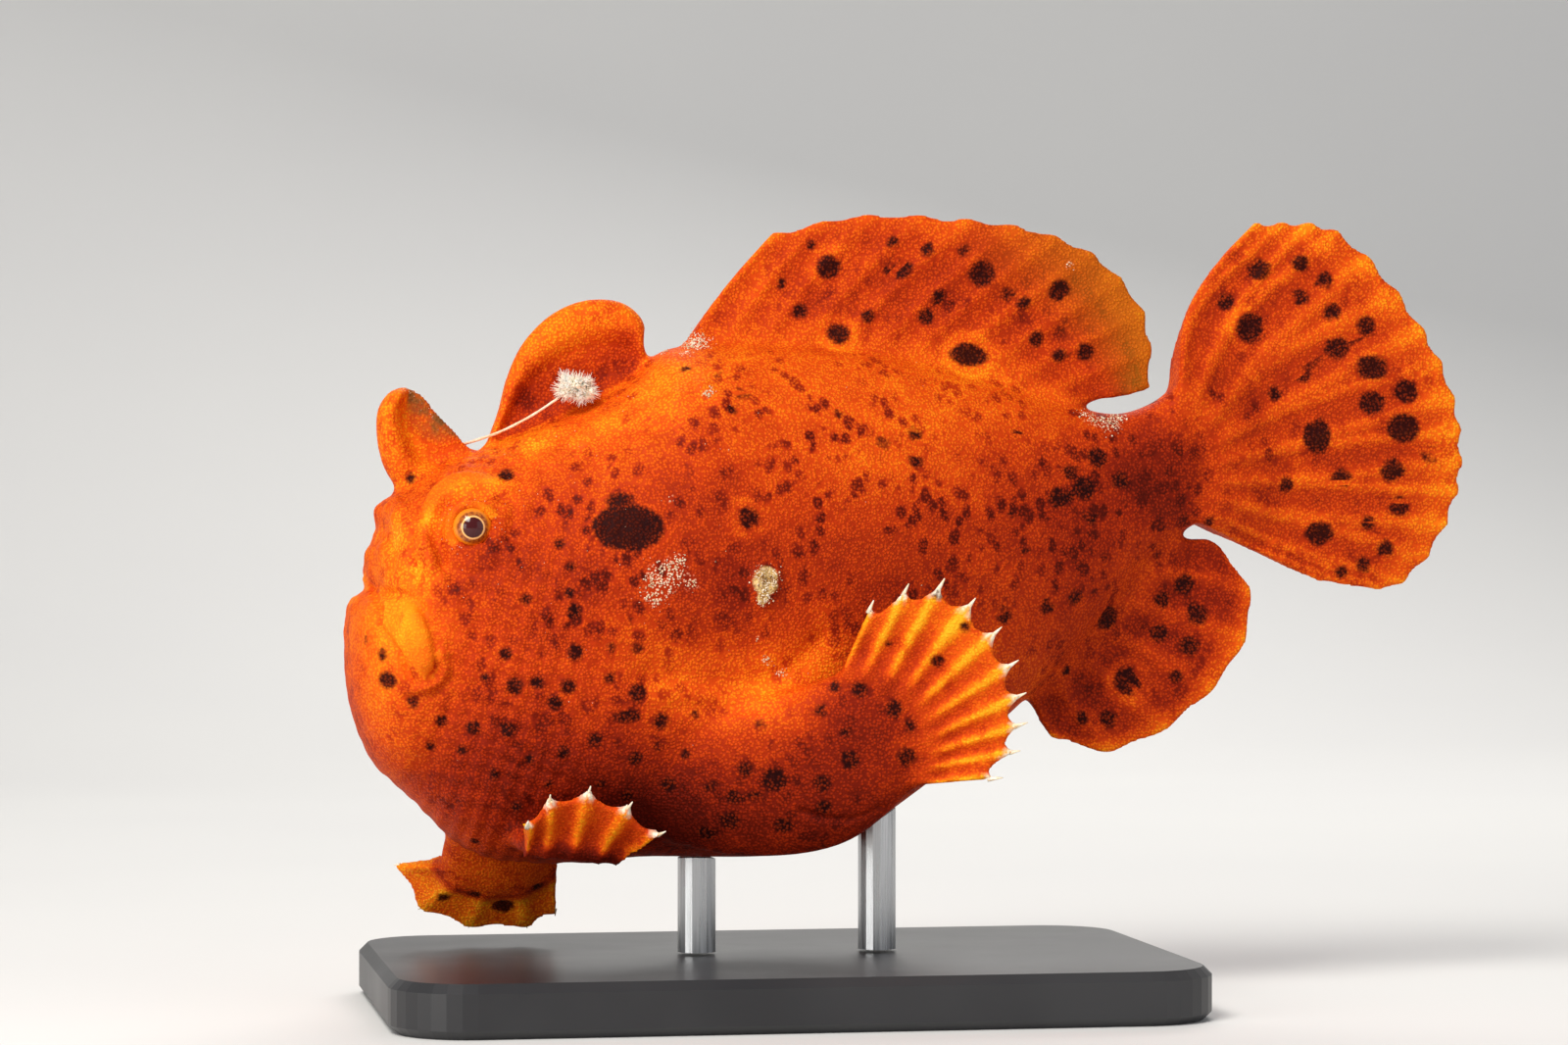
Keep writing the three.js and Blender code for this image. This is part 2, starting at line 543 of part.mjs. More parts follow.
function hump() {
  const { rows, rim, web, stump, sink } = humpSpine;
  const outline = curveThrough(humpSpine.rim3);
  const base = curveThrough(backLine.slice(2, 5));
  const columns = 16;
  const down = new THREE.Vector3(0, 0, -sink);
  return blade(columns, rows, (i, j) => {
    const u = i / columns;
    const v = 1 - (1 - j / rows) ** 1.4;
    const from = base.getPoint(u).add(down);
    return from.lerp(outline.getPointAt(u), v);
  }, (i, j) => {
    const v = 1 - (1 - j / rows) ** 1.4;
    const foot = (stump - web) * (1 - smoothstep(0.05, 0.4, v));
    const bead = rim * smoothstep(0.45, 0.8, v) * Math.sqrt(Math.max(0, 1 - ((v - 0.8) / 0.2) ** 2 * (v > 0.8)));
    const ends = smoothstep(0, 0.06, i / columns) * smoothstep(0, 0.06, 1 - i / columns);
    return 0.25 + Math.max(web * (1 - smoothstep(0.85, 1, v)) + foot, bead) * (0.35 + 0.65 * ends);
  });
}

// The lure

function lureRod() {
  const path = curveThrough(lure.path);
  return tube(path, 18, 6, () => lure.radius, () => lure.radius, () => new THREE.Vector3(0, 0.3, 1));
}

function baitTuft() {
  const draw = seededDraw(11);
  const centre = solidPoint([bait.at[0], bait.at[1], bait.at[2]]);
  let tuft = toSolid(new THREE.IcosahedronGeometry(bait.core, 1).translate(...centre.toArray()));
  for (let k = 0; k < bait.threads; k++) {
    const lift = 1 - 2 * (k + 0.5) / bait.threads;
    const turn = 2.39996 * k;
    const flatPart = Math.sqrt(1 - lift ** 2);
    const out = new THREE.Vector3(flatPart * Math.cos(turn), flatPart * Math.sin(turn), lift);
    const length = bait.reach * (0.8 + 0.4 * draw());
    const bend = new THREE.Vector3(draw() - 0.5, draw() - 0.5, draw() - 0.5).multiplyScalar(0.8);
    const path = new THREE.CatmullRomCurve3([centre, centre.clone().addScaledVector(out, 0.6 * length),
      centre.clone().addScaledVector(out, length).add(bend)]);
    const size = (t) => bait.thread * (1 - 0.8 * t);
    tuft = tuft.add(toSolid(tube(path, 2, 3, size, size, () => new THREE.Vector3(0.3, 0.5, 0.81))));
  }
  return tuft;
}

// The stand

function standBase() {
  const { length, width, height, corner, edge } = stand;
  const [x, y] = [length / 2 - edge, width / 2 - edge];
  const shape = new THREE.Shape();
  shape.moveTo(-x + corner, -y);
  shape.lineTo(x - corner, -y);
  shape.absarc(x - corner, -y + corner, corner, -Math.PI / 2, 0);
  shape.lineTo(x, y - corner);
  shape.absarc(x - corner, y - corner, corner, 0, Math.PI / 2);
  shape.lineTo(-x + corner, y);
  shape.absarc(-x + corner, y - corner, corner, Math.PI / 2, Math.PI);
  shape.lineTo(-x, -y + corner);
  shape.absarc(-x + corner, -y + corner, corner, Math.PI, 1.5 * Math.PI);
  return new THREE.ExtrudeGeometry(shape, { depth: height - 2 * edge, bevelThickness: edge, bevelSize: edge,
    bevelSegments: 1, curveSegments: 4 }).translate(0, 0, edge);
}

function standRod(x) {
  const top = tableAt(bellyLine, x) + 6;
  const bottom = stand.height + gap;
  return new THREE.CylinderGeometry(stand.rod, stand.rod, top - bottom, 16).rotateX(Math.PI / 2)
    .translate(x, 0, (top + bottom) / 2);
}

// Cutting each piece clear of what carries it

const bodySolid = toSolid(body);
const bodyClear = toSolid(swollen(body, gap));

function clearOf(geometry, ...hosts) {
  let solid = toSolid(geometry);
  for (const host of hosts) solid = solid.subtract(host);
  return largest(solid);
}

function fleshPieces() {
  const rims = [eyeRim(), plateOfJaw(), brow(), nostrilTube()];
  let whole = bodySolid;
  for (const rim of rims) whole = whole.add(toSolid(rim)).add(toSolid(mirrored(rim)));
  whole = whole.add(toSolid(lip(upperLip, 1.0, 1.1))).add(toSolid(lip(lowerLip, 1.0, 1.0)));
  const socket = eyeball(eye.radius + gap);
  whole = whole.subtract(toSolid(socket)).subtract(toSolid(mirrored(socket)));
  const even = [gap, gap];
  whole = whole.subtract(slab(headCut, even)).subtract(slab(stalkCut, even)).subtract(slab(mouthLine, mouthWidths));
  const pieces = whole.decompose().sort((a, b) => b.volume() - a.volume()).slice(0, 4);
  const middleX = (piece) => {
    const { min, max } = piece.boundingBox();
    return (min[0] + max[0]) / 2;
  };
  const [jaw, head, trunk, stalk] = pieces.sort((a, b) => middleX(a) - middleX(b))
    .map((piece) => cleaned(piece));
  return { jaw, head, trunk, stalk };
}

// Assembly

const fish = new THREE.Group();

function addPiece(name, shape, [color, roughness], metalness = 0) {
  const geometry = shape.isBufferGeometry ? shape : toGeometry(shape);
  const mesh = new THREE.Mesh(geometry, new THREE.MeshStandardMaterial({ color, roughness, metalness }));
  mesh.name = name;
  fish.add(mesh);
}

const flesh = fleshPieces();
addPiece('head', flesh.head, paints.skin);
addPiece('lower_jaw', flesh.jaw, paints.lip);
addPiece('trunk', flesh.trunk, paints.skin);
addPiece('tail_stalk', flesh.stalk, paints.darkSkin);

addPiece('dorsal_fin', clearOf(rayedFin(dorsal), bodyClear), paints.fin);
addPiece('anal_fin', clearOf(rayedFin(anal), bodyClear), paints.fin);
addPiece('caudal_fin', clearOf(rayedFin(caudal, true), bodyClear), paints.fin);

const hornShape = horn();
const humpShape = hump();
addPiece('second_dorsal_spine', clearOf(hornShape, bodyClear), paints.skin);
addPiece('third_dorsal_spine', clearOf(humpShape, bodyClear, toSolid(swollen(hornShape, gap))), paints.skin);

const baitSolid = largest(baitTuft());
const rodShape = lureRod();
const hosts = [bodyClear, toSolid(swollen(hornShape, gap)), toSolid(swollen(humpShape, gap))];
const rodCut = hosts.reduce((rest, host) => rest.subtract(host), toSolid(rodShape));
addPiece('illicium', largest(rodCut, lure.radius / 20), paints.lure);
const rodClear = toSolid(swollen(rodShape, gap));
addPiece('esca', largest(baitSolid.subtract(rodClear).subtract(toSolid(swollen(humpShape, gap)))
  .subtract(bodyClear)), paints.lure);

const eyeShape = eyeball(eye.radius);
addPiece('left_eye', eyeShape, paints.eye);
addPiece('right_eye', mirrored(eyeShape), paints.eye);

const armShape = lobe({ ...armLobe, fin: pectoral });
const armSolid = clearOf(armShape, bodyClear);
const armClear = toSolid(swollen(armShape, gap));
const pectoralSolid = clearOf(rayedFin(pectoral), armClear, bodyClear);
addPiece('left_pectoral_arm', armSolid, paints.skin);
addPiece('right_pectoral_arm', mirrored(toGeometry(armSolid)), paints.skin);
addPiece('left_pectoral_fin', pectoralSolid, paints.paleFin);
addPiece('right_pectoral_fin', mirrored(toGeometry(pectoralSolid)), paints.paleFin);

for (const [side, leg, foot] of [['left', nearLeg, nearFoot], ['right', farLeg, farFoot]]) {
  const legShape = lobe({ ...leg, fin: foot });
  addPiece(`${side}_pelvic_leg`, clearOf(legShape, bodyClear), paints.darkSkin);
  addPiece(`${side}_pelvic_fin`, clearOf(rayedFin(foot), toSolid(swollen(legShape, gap)), bodyClear),
    paints.paleFin);
}

addPiece('stand_base', standBase(), paints.stand);
addPiece('stand_rod_front', clearOf(standRod(stand.rodAt[0]), bodyClear), paints.rod, 1);
addPiece('stand_rod_rear', clearOf(standRod(stand.rodAt[1]), bodyClear), paints.rod, 1);

export default fish;
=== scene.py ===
# Painted frogfish above a display stand: skin, fins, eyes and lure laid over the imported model.
# Forms are worked in millimetres, x towards the tail, y to the fish's right, z up, and end in metres.

import math

import bpy
import numpy as np
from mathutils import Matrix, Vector, kdtree
from mathutils.bvhtree import BVHTree


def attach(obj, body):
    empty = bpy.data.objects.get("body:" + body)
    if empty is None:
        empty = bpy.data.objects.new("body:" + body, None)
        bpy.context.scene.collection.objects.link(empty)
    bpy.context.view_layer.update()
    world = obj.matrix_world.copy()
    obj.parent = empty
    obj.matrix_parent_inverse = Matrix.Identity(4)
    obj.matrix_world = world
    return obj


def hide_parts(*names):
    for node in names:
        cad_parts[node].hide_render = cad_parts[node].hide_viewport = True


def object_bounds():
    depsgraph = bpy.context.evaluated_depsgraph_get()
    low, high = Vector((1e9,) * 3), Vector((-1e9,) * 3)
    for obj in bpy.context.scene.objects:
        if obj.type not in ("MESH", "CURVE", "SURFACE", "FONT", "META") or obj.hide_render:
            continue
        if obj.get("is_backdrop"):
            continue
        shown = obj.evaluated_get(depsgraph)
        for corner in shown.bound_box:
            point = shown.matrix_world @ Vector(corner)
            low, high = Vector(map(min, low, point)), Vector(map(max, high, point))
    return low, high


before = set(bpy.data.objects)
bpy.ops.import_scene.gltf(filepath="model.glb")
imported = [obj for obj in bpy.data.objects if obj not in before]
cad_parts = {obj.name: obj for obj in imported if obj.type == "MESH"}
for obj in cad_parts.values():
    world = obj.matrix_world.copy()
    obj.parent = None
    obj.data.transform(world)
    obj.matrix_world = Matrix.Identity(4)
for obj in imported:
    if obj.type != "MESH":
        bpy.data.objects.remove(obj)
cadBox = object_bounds()
scene = bpy.context.scene
metres = 0.001


# The photograph's viewing angle; lengths in millimetres, the frame in pixels
view = {"azimuth": -10.0, "distance": 500.0, "lens": 100.0, "sensor": 36.0, "target": (1.142, 0.0, 55.35),
        "width": 1600, "height": 1066, "clip": (0.05, 20.0)}


def viewAxes():
    turn = math.radians(view["azimuth"])
    ahead = np.array([-math.sin(turn), math.cos(turn), 0.0])
    across = np.array([math.cos(turn), math.sin(turn), 0.0])
    return ahead, across


def eyePoint():
    ahead = viewAxes()[0]
    return np.array(view["target"]) - view["distance"] * ahead


def focalPixels():
    return view["lens"] / view["sensor"] * view["width"]


def pixelRay(px, py):
    ahead, across = viewAxes()
    focal = focalPixels()
    aim = ahead + across * (px - view["width"] / 2) / focal
    aim = aim + np.array([0.0, 0.0, 1.0]) * (view["height"] / 2 - py) / focal
    return aim / np.linalg.norm(aim)


def makeCamera():
    data = bpy.data.cameras.new("camera")
    data.lens = view["lens"]
    data.sensor_width = view["sensor"]
    data.clip_start, data.clip_end = view["clip"]
    camera = bpy.data.objects.new("camera", data)
    scene.collection.objects.link(camera)
    camera.location = Vector(eyePoint() * metres)
    camera.rotation_euler = Vector(viewAxes()[0]).to_track_quat("-Z", "Y").to_euler()
    scene.camera = camera


makeCamera()
print("camera set")


def points3(line):
    return np.array([[p[0], p[2] if len(p) > 2 else 0.0, p[1]] for p in line], dtype=float)


# Smooth curve through the points; u runs from 0 to 1 over them
def curveAt(points, u):
    u = np.clip(np.asarray(u, dtype=float), 0, 1)
    last = len(points) - 1
    place = u * last
    i = np.minimum(place.astype(int), last - 1)
    w = (place - i)[..., None]
    padded = np.vstack([2 * points[0] - points[1], points, 2 * points[-1] - points[-2]])
    a, b, c, d = padded[i], padded[i + 1], padded[i + 2], padded[i + 3]
    gaps = [np.maximum(np.linalg.norm(q - p, axis=-1) ** 0.5, 1e-3)[..., None] for p, q in ((a, b), (b, c), (c, d))]
    g0, g1, g2 = gaps
    start = ((b - a) / g0 - (c - a) / (g0 + g1) + (c - b) / g1) * g1
    end = ((c - b) / g1 - (d - b) / (g1 + g2) + (d - c) / g2) * g1
    return b + start * w + (3 * (c - b) - 2 * start - end) * w ** 2 + (2 * (b - c) + start + end) * w ** 3


# Places along the curve by share of its length
def evenly(points, shares):
    fine = np.linspace(0, 1, 1200)
    path = curveAt(points, fine)
    length = np.concatenate([[0], np.cumsum(np.linalg.norm(np.diff(path, axis=0), axis=1))])
    return curveAt(points, np.interp(np.asarray(shares) * length[-1], length, fine))


def smoothstep(low, high, value):
    t = np.clip((np.asarray(value, dtype=float) - low) / (high - low), 0, 1)
    return t * t * (3 - 2 * t)


# Smooth reading of a table of x and value
def tableAt(table, x):
    xs, ys = np.array(table, dtype=float).T
    slopes = np.empty(len(xs))
    slopes[1:-1] = (ys[2:] - ys[:-2]) / (xs[2:] - xs[:-2])
    slopes[0] = (ys[1] - ys[0]) / (xs[1] - xs[0])
    slopes[-1] = (ys[-1] - ys[-2]) / (xs[-1] - xs[-2])
    x = np.clip(np.asarray(x, dtype=float), xs[0], xs[-1])
    i = np.clip(np.searchsorted(xs, x, side="right") - 1, 0, len(xs) - 2)
    span = xs[i + 1] - xs[i]
    t = (x - xs[i]) / span
    return ((2 * t ** 3 - 3 * t ** 2 + 1) * ys[i] + (t ** 3 - 2 * t ** 2 + t) * span * slopes[i]
            + (3 * t ** 2 - 2 * t ** 3) * ys[i + 1] + (t ** 3 - t ** 2) * span * slopes[i + 1])


def gridFaces(rows, columns, first=0, closed=False):
    faces = []
    wide = columns if closed else columns + 1
    for j in range(rows):
        for i in range(columns):
            a, b = first + j * wide + i, first + j * wide + (i + 1) % wide
            faces.append((a, b, b + wide, a + wide))
    return faces


# All forms of the skin; each point keeps its region, how near a ray it is, and its share from root to rim
class Parts:
    def __init__(self):
        self.points, self.faces, self.labels = [], [], []
        self.count = 0

    def add(self, points, faces, region, crest=0.0, share=0.0):
        points = np.asarray(points, dtype=float).reshape(-1, 3)
        self.points.append(points)
        self.faces.extend([tuple(self.count + k for k in face) for face in faces])
        columns = [np.broadcast_to(np.asarray(value, dtype=float).reshape(-1), (len(points),))
                   for value in (region, crest, share)]
        self.labels.append(np.stack(columns, axis=1))
        self.count += len(points)


parts = Parts()
regionOf = {"body": 0, "trim": 1, "dorsal": 2, "anal": 3, "caudal": 4, "pectoral": 5, "pelvic": 6, "arm": 7, "leg": 8,
            "horn": 9, "hump": 10, "pelvicFar": 11, "legFar": 12}


# A sheet thickened to both sides and closed round its border
def addBlade(sheet, half, region, crest=0.0, share=0.0, mirror=False):
    rows, columns = sheet.shape[0] - 1, sheet.shape[1] - 1
    across = np.gradient(sheet, axis=1)
    along = np.gradient(sheet, axis=0)
    normal = np.cross(across, along)
    normal /= np.maximum(np.linalg.norm(normal, axis=-1, keepdims=True), 1e-9)
    front = sheet + normal * half[..., None]
    back = sheet - normal * half[..., None]
    count = (rows + 1) * (columns + 1)
    faces = gridFaces(rows, columns) + [tuple(reversed(f)) for f in gridFaces(rows, columns, count)]
    corner = lambda i, j: j * (columns + 1) + i
    border = [(corner(i, 0), corner(i + 1, 0)) for i in range(columns)]
    border += [(corner(columns, j), corner(columns, j + 1)) for j in range(rows)]
    border += [(corner(i, rows), corner(i - 1, rows)) for i in range(columns, 0, -1)]
    border += [(corner(0, j), corner(0, j - 1)) for j in range(rows, 0, -1)]
    faces += [(b, a, a + count, b + count) for a, b in border]
    points = np.concatenate([front.reshape(-1, 3), back.reshape(-1, 3)])
    crests = np.tile(np.broadcast_to(crest, half.shape).reshape(-1), 2)
    shares = np.tile(np.broadcast_to(share, half.shape).reshape(-1), 2)
    for side in ((1, -1) if mirror else (1,)):
        parts.add(points * [1, side, 1], faces if side > 0 else [f[::-1] for f in faces], region, crests, shares)


def tubePoints(path, steps, sides, rise, width, up):
    shares = np.linspace(0, 1, steps + 1)
    centre = evenly(path, shares)
    along = np.gradient(centre, axis=0)
    along /= np.linalg.norm(along, axis=1, keepdims=True)
    side = np.cross(along, np.asarray(up, dtype=float))
    side /= np.linalg.norm(side, axis=1, keepdims=True)
    top = np.cross(side, along)
    angle = 2 * math.pi * np.arange(sides) / sides
    ring = centre[:, None] + side[:, None] * (width(shares)[:, None] * np.cos(angle))[..., None] \
        + top[:, None] * (rise(shares)[:, None] * np.sin(angle))[..., None]
    points = np.vstack([ring.reshape(-1, 3), centre[0], centre[-1]])
    faces = [f[::-1] for f in gridFaces(steps, sides, closed=True)]
    first, last = steps * sides + sides, steps * sides + sides + 1
    for s in range(sides):
        faces.append((first, s, (s + 1) % sides))
        faces.append((last, steps * sides + (s + 1) % sides, steps * sides + s))
    return points, faces


def addTube(path, steps, sides, rise, width, up, region, mirror=False):
    points, faces = tubePoints(path, steps, sides, rise, width, up)
    parts.add(points, faces, region)
    if mirror:
        parts.add(points * [1, -1, 1], [f[::-1] for f in faces], region)


# Body: side outline, middle line, half widths, and low swellings as x, z, length, height, rise
bodyForm = {
    "back": [[-43.4, 58.7], [-38.8, 61.5], [-33.8, 63.5], [-24.9, 67.4], [-15.9, 72.4], [-13.6, 74.6], [-10.6, 75.5],
             [1.1, 75.7], [12.6, 74.7], [24.2, 72.1], [34.7, 69.0], [40.5, 68.0], [44.6, 69.3], [48.2, 72.0]],
    "belly": [[-43.5, 25.8], [-40.5, 23.0], [-36.8, 19.3], [-32.7, 17.4], [-26.0, 16.7], [-15.9, 17.3],
              [-1.1, 17.2], [4.6, 18.0], [10.3, 20.4], [16.1, 24.2], [23.0, 29.5], [35.8, 41.0], [46.5, 53.0],
              [49.3, 54.8]],
    "chin": [[-43.5, 25.8], [-45.8, 28.0], [-47.9, 32.5], [-48.9, 36.9], [-49.1, 41.3], [-48.9, 44.8], [-47.6, 47.0],
             [-45.9, 48.1], [-46.6, 49.6], [-46.3, 52.2], [-45.2, 54.6], [-45.1, 56.6], [-44.4, 57.9], [-43.4, 58.7]],
    "tail": [[48.2, 72.0], [50.3, 66.5], [50.9, 62.0], [50.6, 58.4], [49.3, 54.8]],
    "middle": [[-36.5, 43.0], [-20.0, 44.5], [0.0, 46.5], [18.0, 52.0], [36.0, 58.8], [47.0, 61.9]],
    "halfWidths": [[-36.5, 15.0], [-27.0, 17.4], [-17.0, 18.4], [-6.0, 17.8], [6.0, 15.6], [18.0, 12.2],
                   [30.0, 8.4], [40.0, 5.4], [47.0, 4.0]],
    "fullness": {"back": 2.1, "belly": 2.3, "face": 2.5},
    "spans": {"back": 150, "tail": 24, "face": 70, "rings": 44},
    "swellings": [[-36.2, 54.8, 5.0, 5.0, 1.1], [-30.0, 56.5, 3.6, 4.0, -0.7], [-34.0, 43.0, 7.0, 8.0, 0.9],
                  [-38.6, 35.5, 3.2, 3.4, -0.6], [-9.0, 40.5, 10.0, 3.6, -1.1], [-12.0, 55.0, 10.0, 8.0, 0.6]],
}


def addBody():
    spans, full = bodyForm["spans"], bodyForm["fullness"]
    middle = points3(bodyForm["middle"])
    rim, anchor, power = [], [], []

    def along(line, count, anchors, value):
        shares = np.arange(count) / count
        rim.append(evenly(points3(line), shares))
        anchor.append(anchors(shares))
        power.append(np.full(count, value))

    ends = evenly(middle, [0.0, 1.0])
    along(bodyForm["back"], spans["back"], lambda t: evenly(middle, t), full["back"])
    along(bodyForm["tail"], spans["tail"], lambda t: np.repeat(ends[1:], len(t), 0), full["back"])
    along(bodyForm["belly"][::-1], spans["back"], lambda t: evenly(middle, 1 - t), full["belly"])
    along(bodyForm["chin"], spans["face"], lambda t: np.repeat(ends[:1], len(t), 0), full["face"])
    rim, anchor, power = np.vstack(rim), np.vstack(anchor), np.concatenate(power)
    widths = tableAt(bodyForm["halfWidths"], anchor[:, 0])
    count, rings = len(rim), spans["rings"]
    for side in (-1, 1):
        sheet = []
        for j in range(rings + 1):
            angle = j / rings * math.pi / 2
            spread = np.zeros(count) if j == rings else math.cos(angle) ** (2 / power)
            ring = anchor + (rim - anchor) * spread[:, None]
            ring[:, 1] = side * widths * math.sin(angle) ** (2 / power)
            push = sum(s[4] * np.exp(-((ring[:, 0] - s[0]) / s[2]) ** 2 - ((ring[:, 2] - s[1]) / s[3]) ** 2)
                       for s in bodyForm["swellings"])
            ring[:, 1] += side * push * smoothstep(0, 6, abs(ring[:, 1]))
            sheet.append(ring)
        faces = gridFaces(rings, count, closed=True)
        parts.add(np.array(sheet), faces if side > 0 else [f[::-1] for f in faces], regionOf["body"])


addBody()
bodyPoints = np.vstack(parts.points)
bodyTree = BVHTree.FromPolygons([Vector(p) for p in bodyPoints], parts.faces)


def onSkin(x, z, lift=0.0, side=-1):
    hit = bodyTree.ray_cast(Vector((x, side * 60.0, z)), Vector((0, -side, 0)))[0]
    return np.array([x, hit.y + side * lift, z])


print("body shaped")


# Lips, mouth plates, brows, eye rims and nostrils
headTrim = {
    "upperLip": [[-42.4, 38.6, 11.0], [-43.3, 42.2, 8.6], [-45.0, 46.9, 4.8], [-46.2, 49.0, 0.0]],
    "lowerLip": [[-43.6, 38.6, 9.8], [-45.2, 42.4, 7.3], [-46.8, 45.5, 4.2], [-47.7, 46.2, 0.0]],
    "plateFront": [[-44.4, 46.2], [-43.9, 43.6], [-42.8, 40.8], [-41.9, 38.2]],
    "plateRear": [[-42.2, 47.0], [-40.6, 44.4], [-39.9, 41.4], [-40.3, 38.4]],
    "plateRise": 1.15,
    "browArc": [[-40.8, 54.6], [-39.5, 58.0], [-36.6, 59.9], [-32.8, 59.4]],
    "eyeAt": (-36.2, 54.8), "eyeRadius": 2.6, "eyeSink": 1.5, "rimRadius": 2.5, "rimTube": 0.62,
    "nostrilAt": (-44.7, 53.4), "nostrilAside": 2.6, "nostrilHeight": 1.1, "nostrilRadius": 0.65,
}


def addLip(points, thick, tall):
    left = np.array([[x, -y, z] for x, z, y in points])
    right = left[:-1][::-1] * [1, -1, 1]
    taper = lambda t: 0.35 + 0.65 * np.sin(math.pi * np.clip(t, 0.02, 0.98)) ** 0.5
    addTube(np.vstack([left, right]), 60, 14, lambda t: tall * taper(t), lambda t: thick * taper(t), (0.25, 0, 1),
            regionOf["trim"])


def addPlate():
    front, rear = points3(headTrim["plateFront"]), points3(headTrim["plateRear"])
    v, u = np.meshgrid(np.linspace(0, 1, 26), np.linspace(0, 1, 18), indexing="ij")
    flat = curveAt(front, v) * (1 - u[..., None]) + curveAt(rear, v) * u[..., None]
    sheet = np.array([[onSkin(p[0], p[2], -0.1) for p in row] for row in flat])
    ends = smoothstep(0, 0.3, v) * smoothstep(0, 0.2, 1 - v)
    half = 0.15 + headTrim["plateRise"] * np.sin(math.pi * u) ** 0.6 * ends
    addBlade(sheet, half, regionOf["trim"], mirror=True)


def addBrow():
    arc = np.array([onSkin(x, z, -0.25) for x, z in headTrim["browArc"]])
    size = lambda t: 0.15 + 0.95 * np.sin(math.pi * np.clip(t, 0, 1)) ** 0.7
    addTube(arc, 24, 12, size, lambda t: 1.3 * size(t), (0, -1, 0), regionOf["trim"], mirror=True)


def addEyeRim():
    centre = eyeCentre(-1)
    turn, roll = np.meshgrid(2 * math.pi * np.arange(40) / 40, 2 * math.pi * np.arange(12) / 12, indexing="ij")
    wide = headTrim["rimRadius"] + headTrim["rimTube"] * np.cos(roll)
    points = np.stack([centre[0] + wide * np.cos(turn), centre[1] - 1.0 + headTrim["rimTube"] * np.sin(roll),
                       centre[2] + wide * np.sin(turn)], axis=-1).reshape(-1, 3)
    faces = [(a * 12 + b, ((a + 1) % 40) * 12 + b, ((a + 1) % 40) * 12 + (b + 1) % 12, a * 12 + (b + 1) % 12)
             for a in range(40) for b in range(12)]
    parts.add(points, faces, regionOf["trim"])
    parts.add(points * [1, -1, 1], [f[::-1] for f in faces], regionOf["trim"])


def eyeCentre(side):
    x, z = headTrim["eyeAt"]
    return onSkin(x, z, -headTrim["eyeSink"], side)


def addNostrils():
    x, z = headTrim["nostrilAt"]
    for side in (-1, 1):
        base = np.array([x + 1.0, side * headTrim["nostrilAside"], z - 0.3])
        top = base + np.array([-1.9, 0, 0.8]) * headTrim["nostrilHeight"]
        path = np.array([base, (base + top) / 2, top])
        size = lambda t: headTrim["nostrilRadius"] * (1 - 0.25 * t)
        addTube(path, 10, 12, size, size, (0, 1, 0), regionOf["trim"])


addLip(headTrim["upperLip"], 1.0, 1.1)
addLip(headTrim["lowerLip"], 1.0, 1.0)
addPlate()
addBrow()
addEyeRim()
addNostrils()


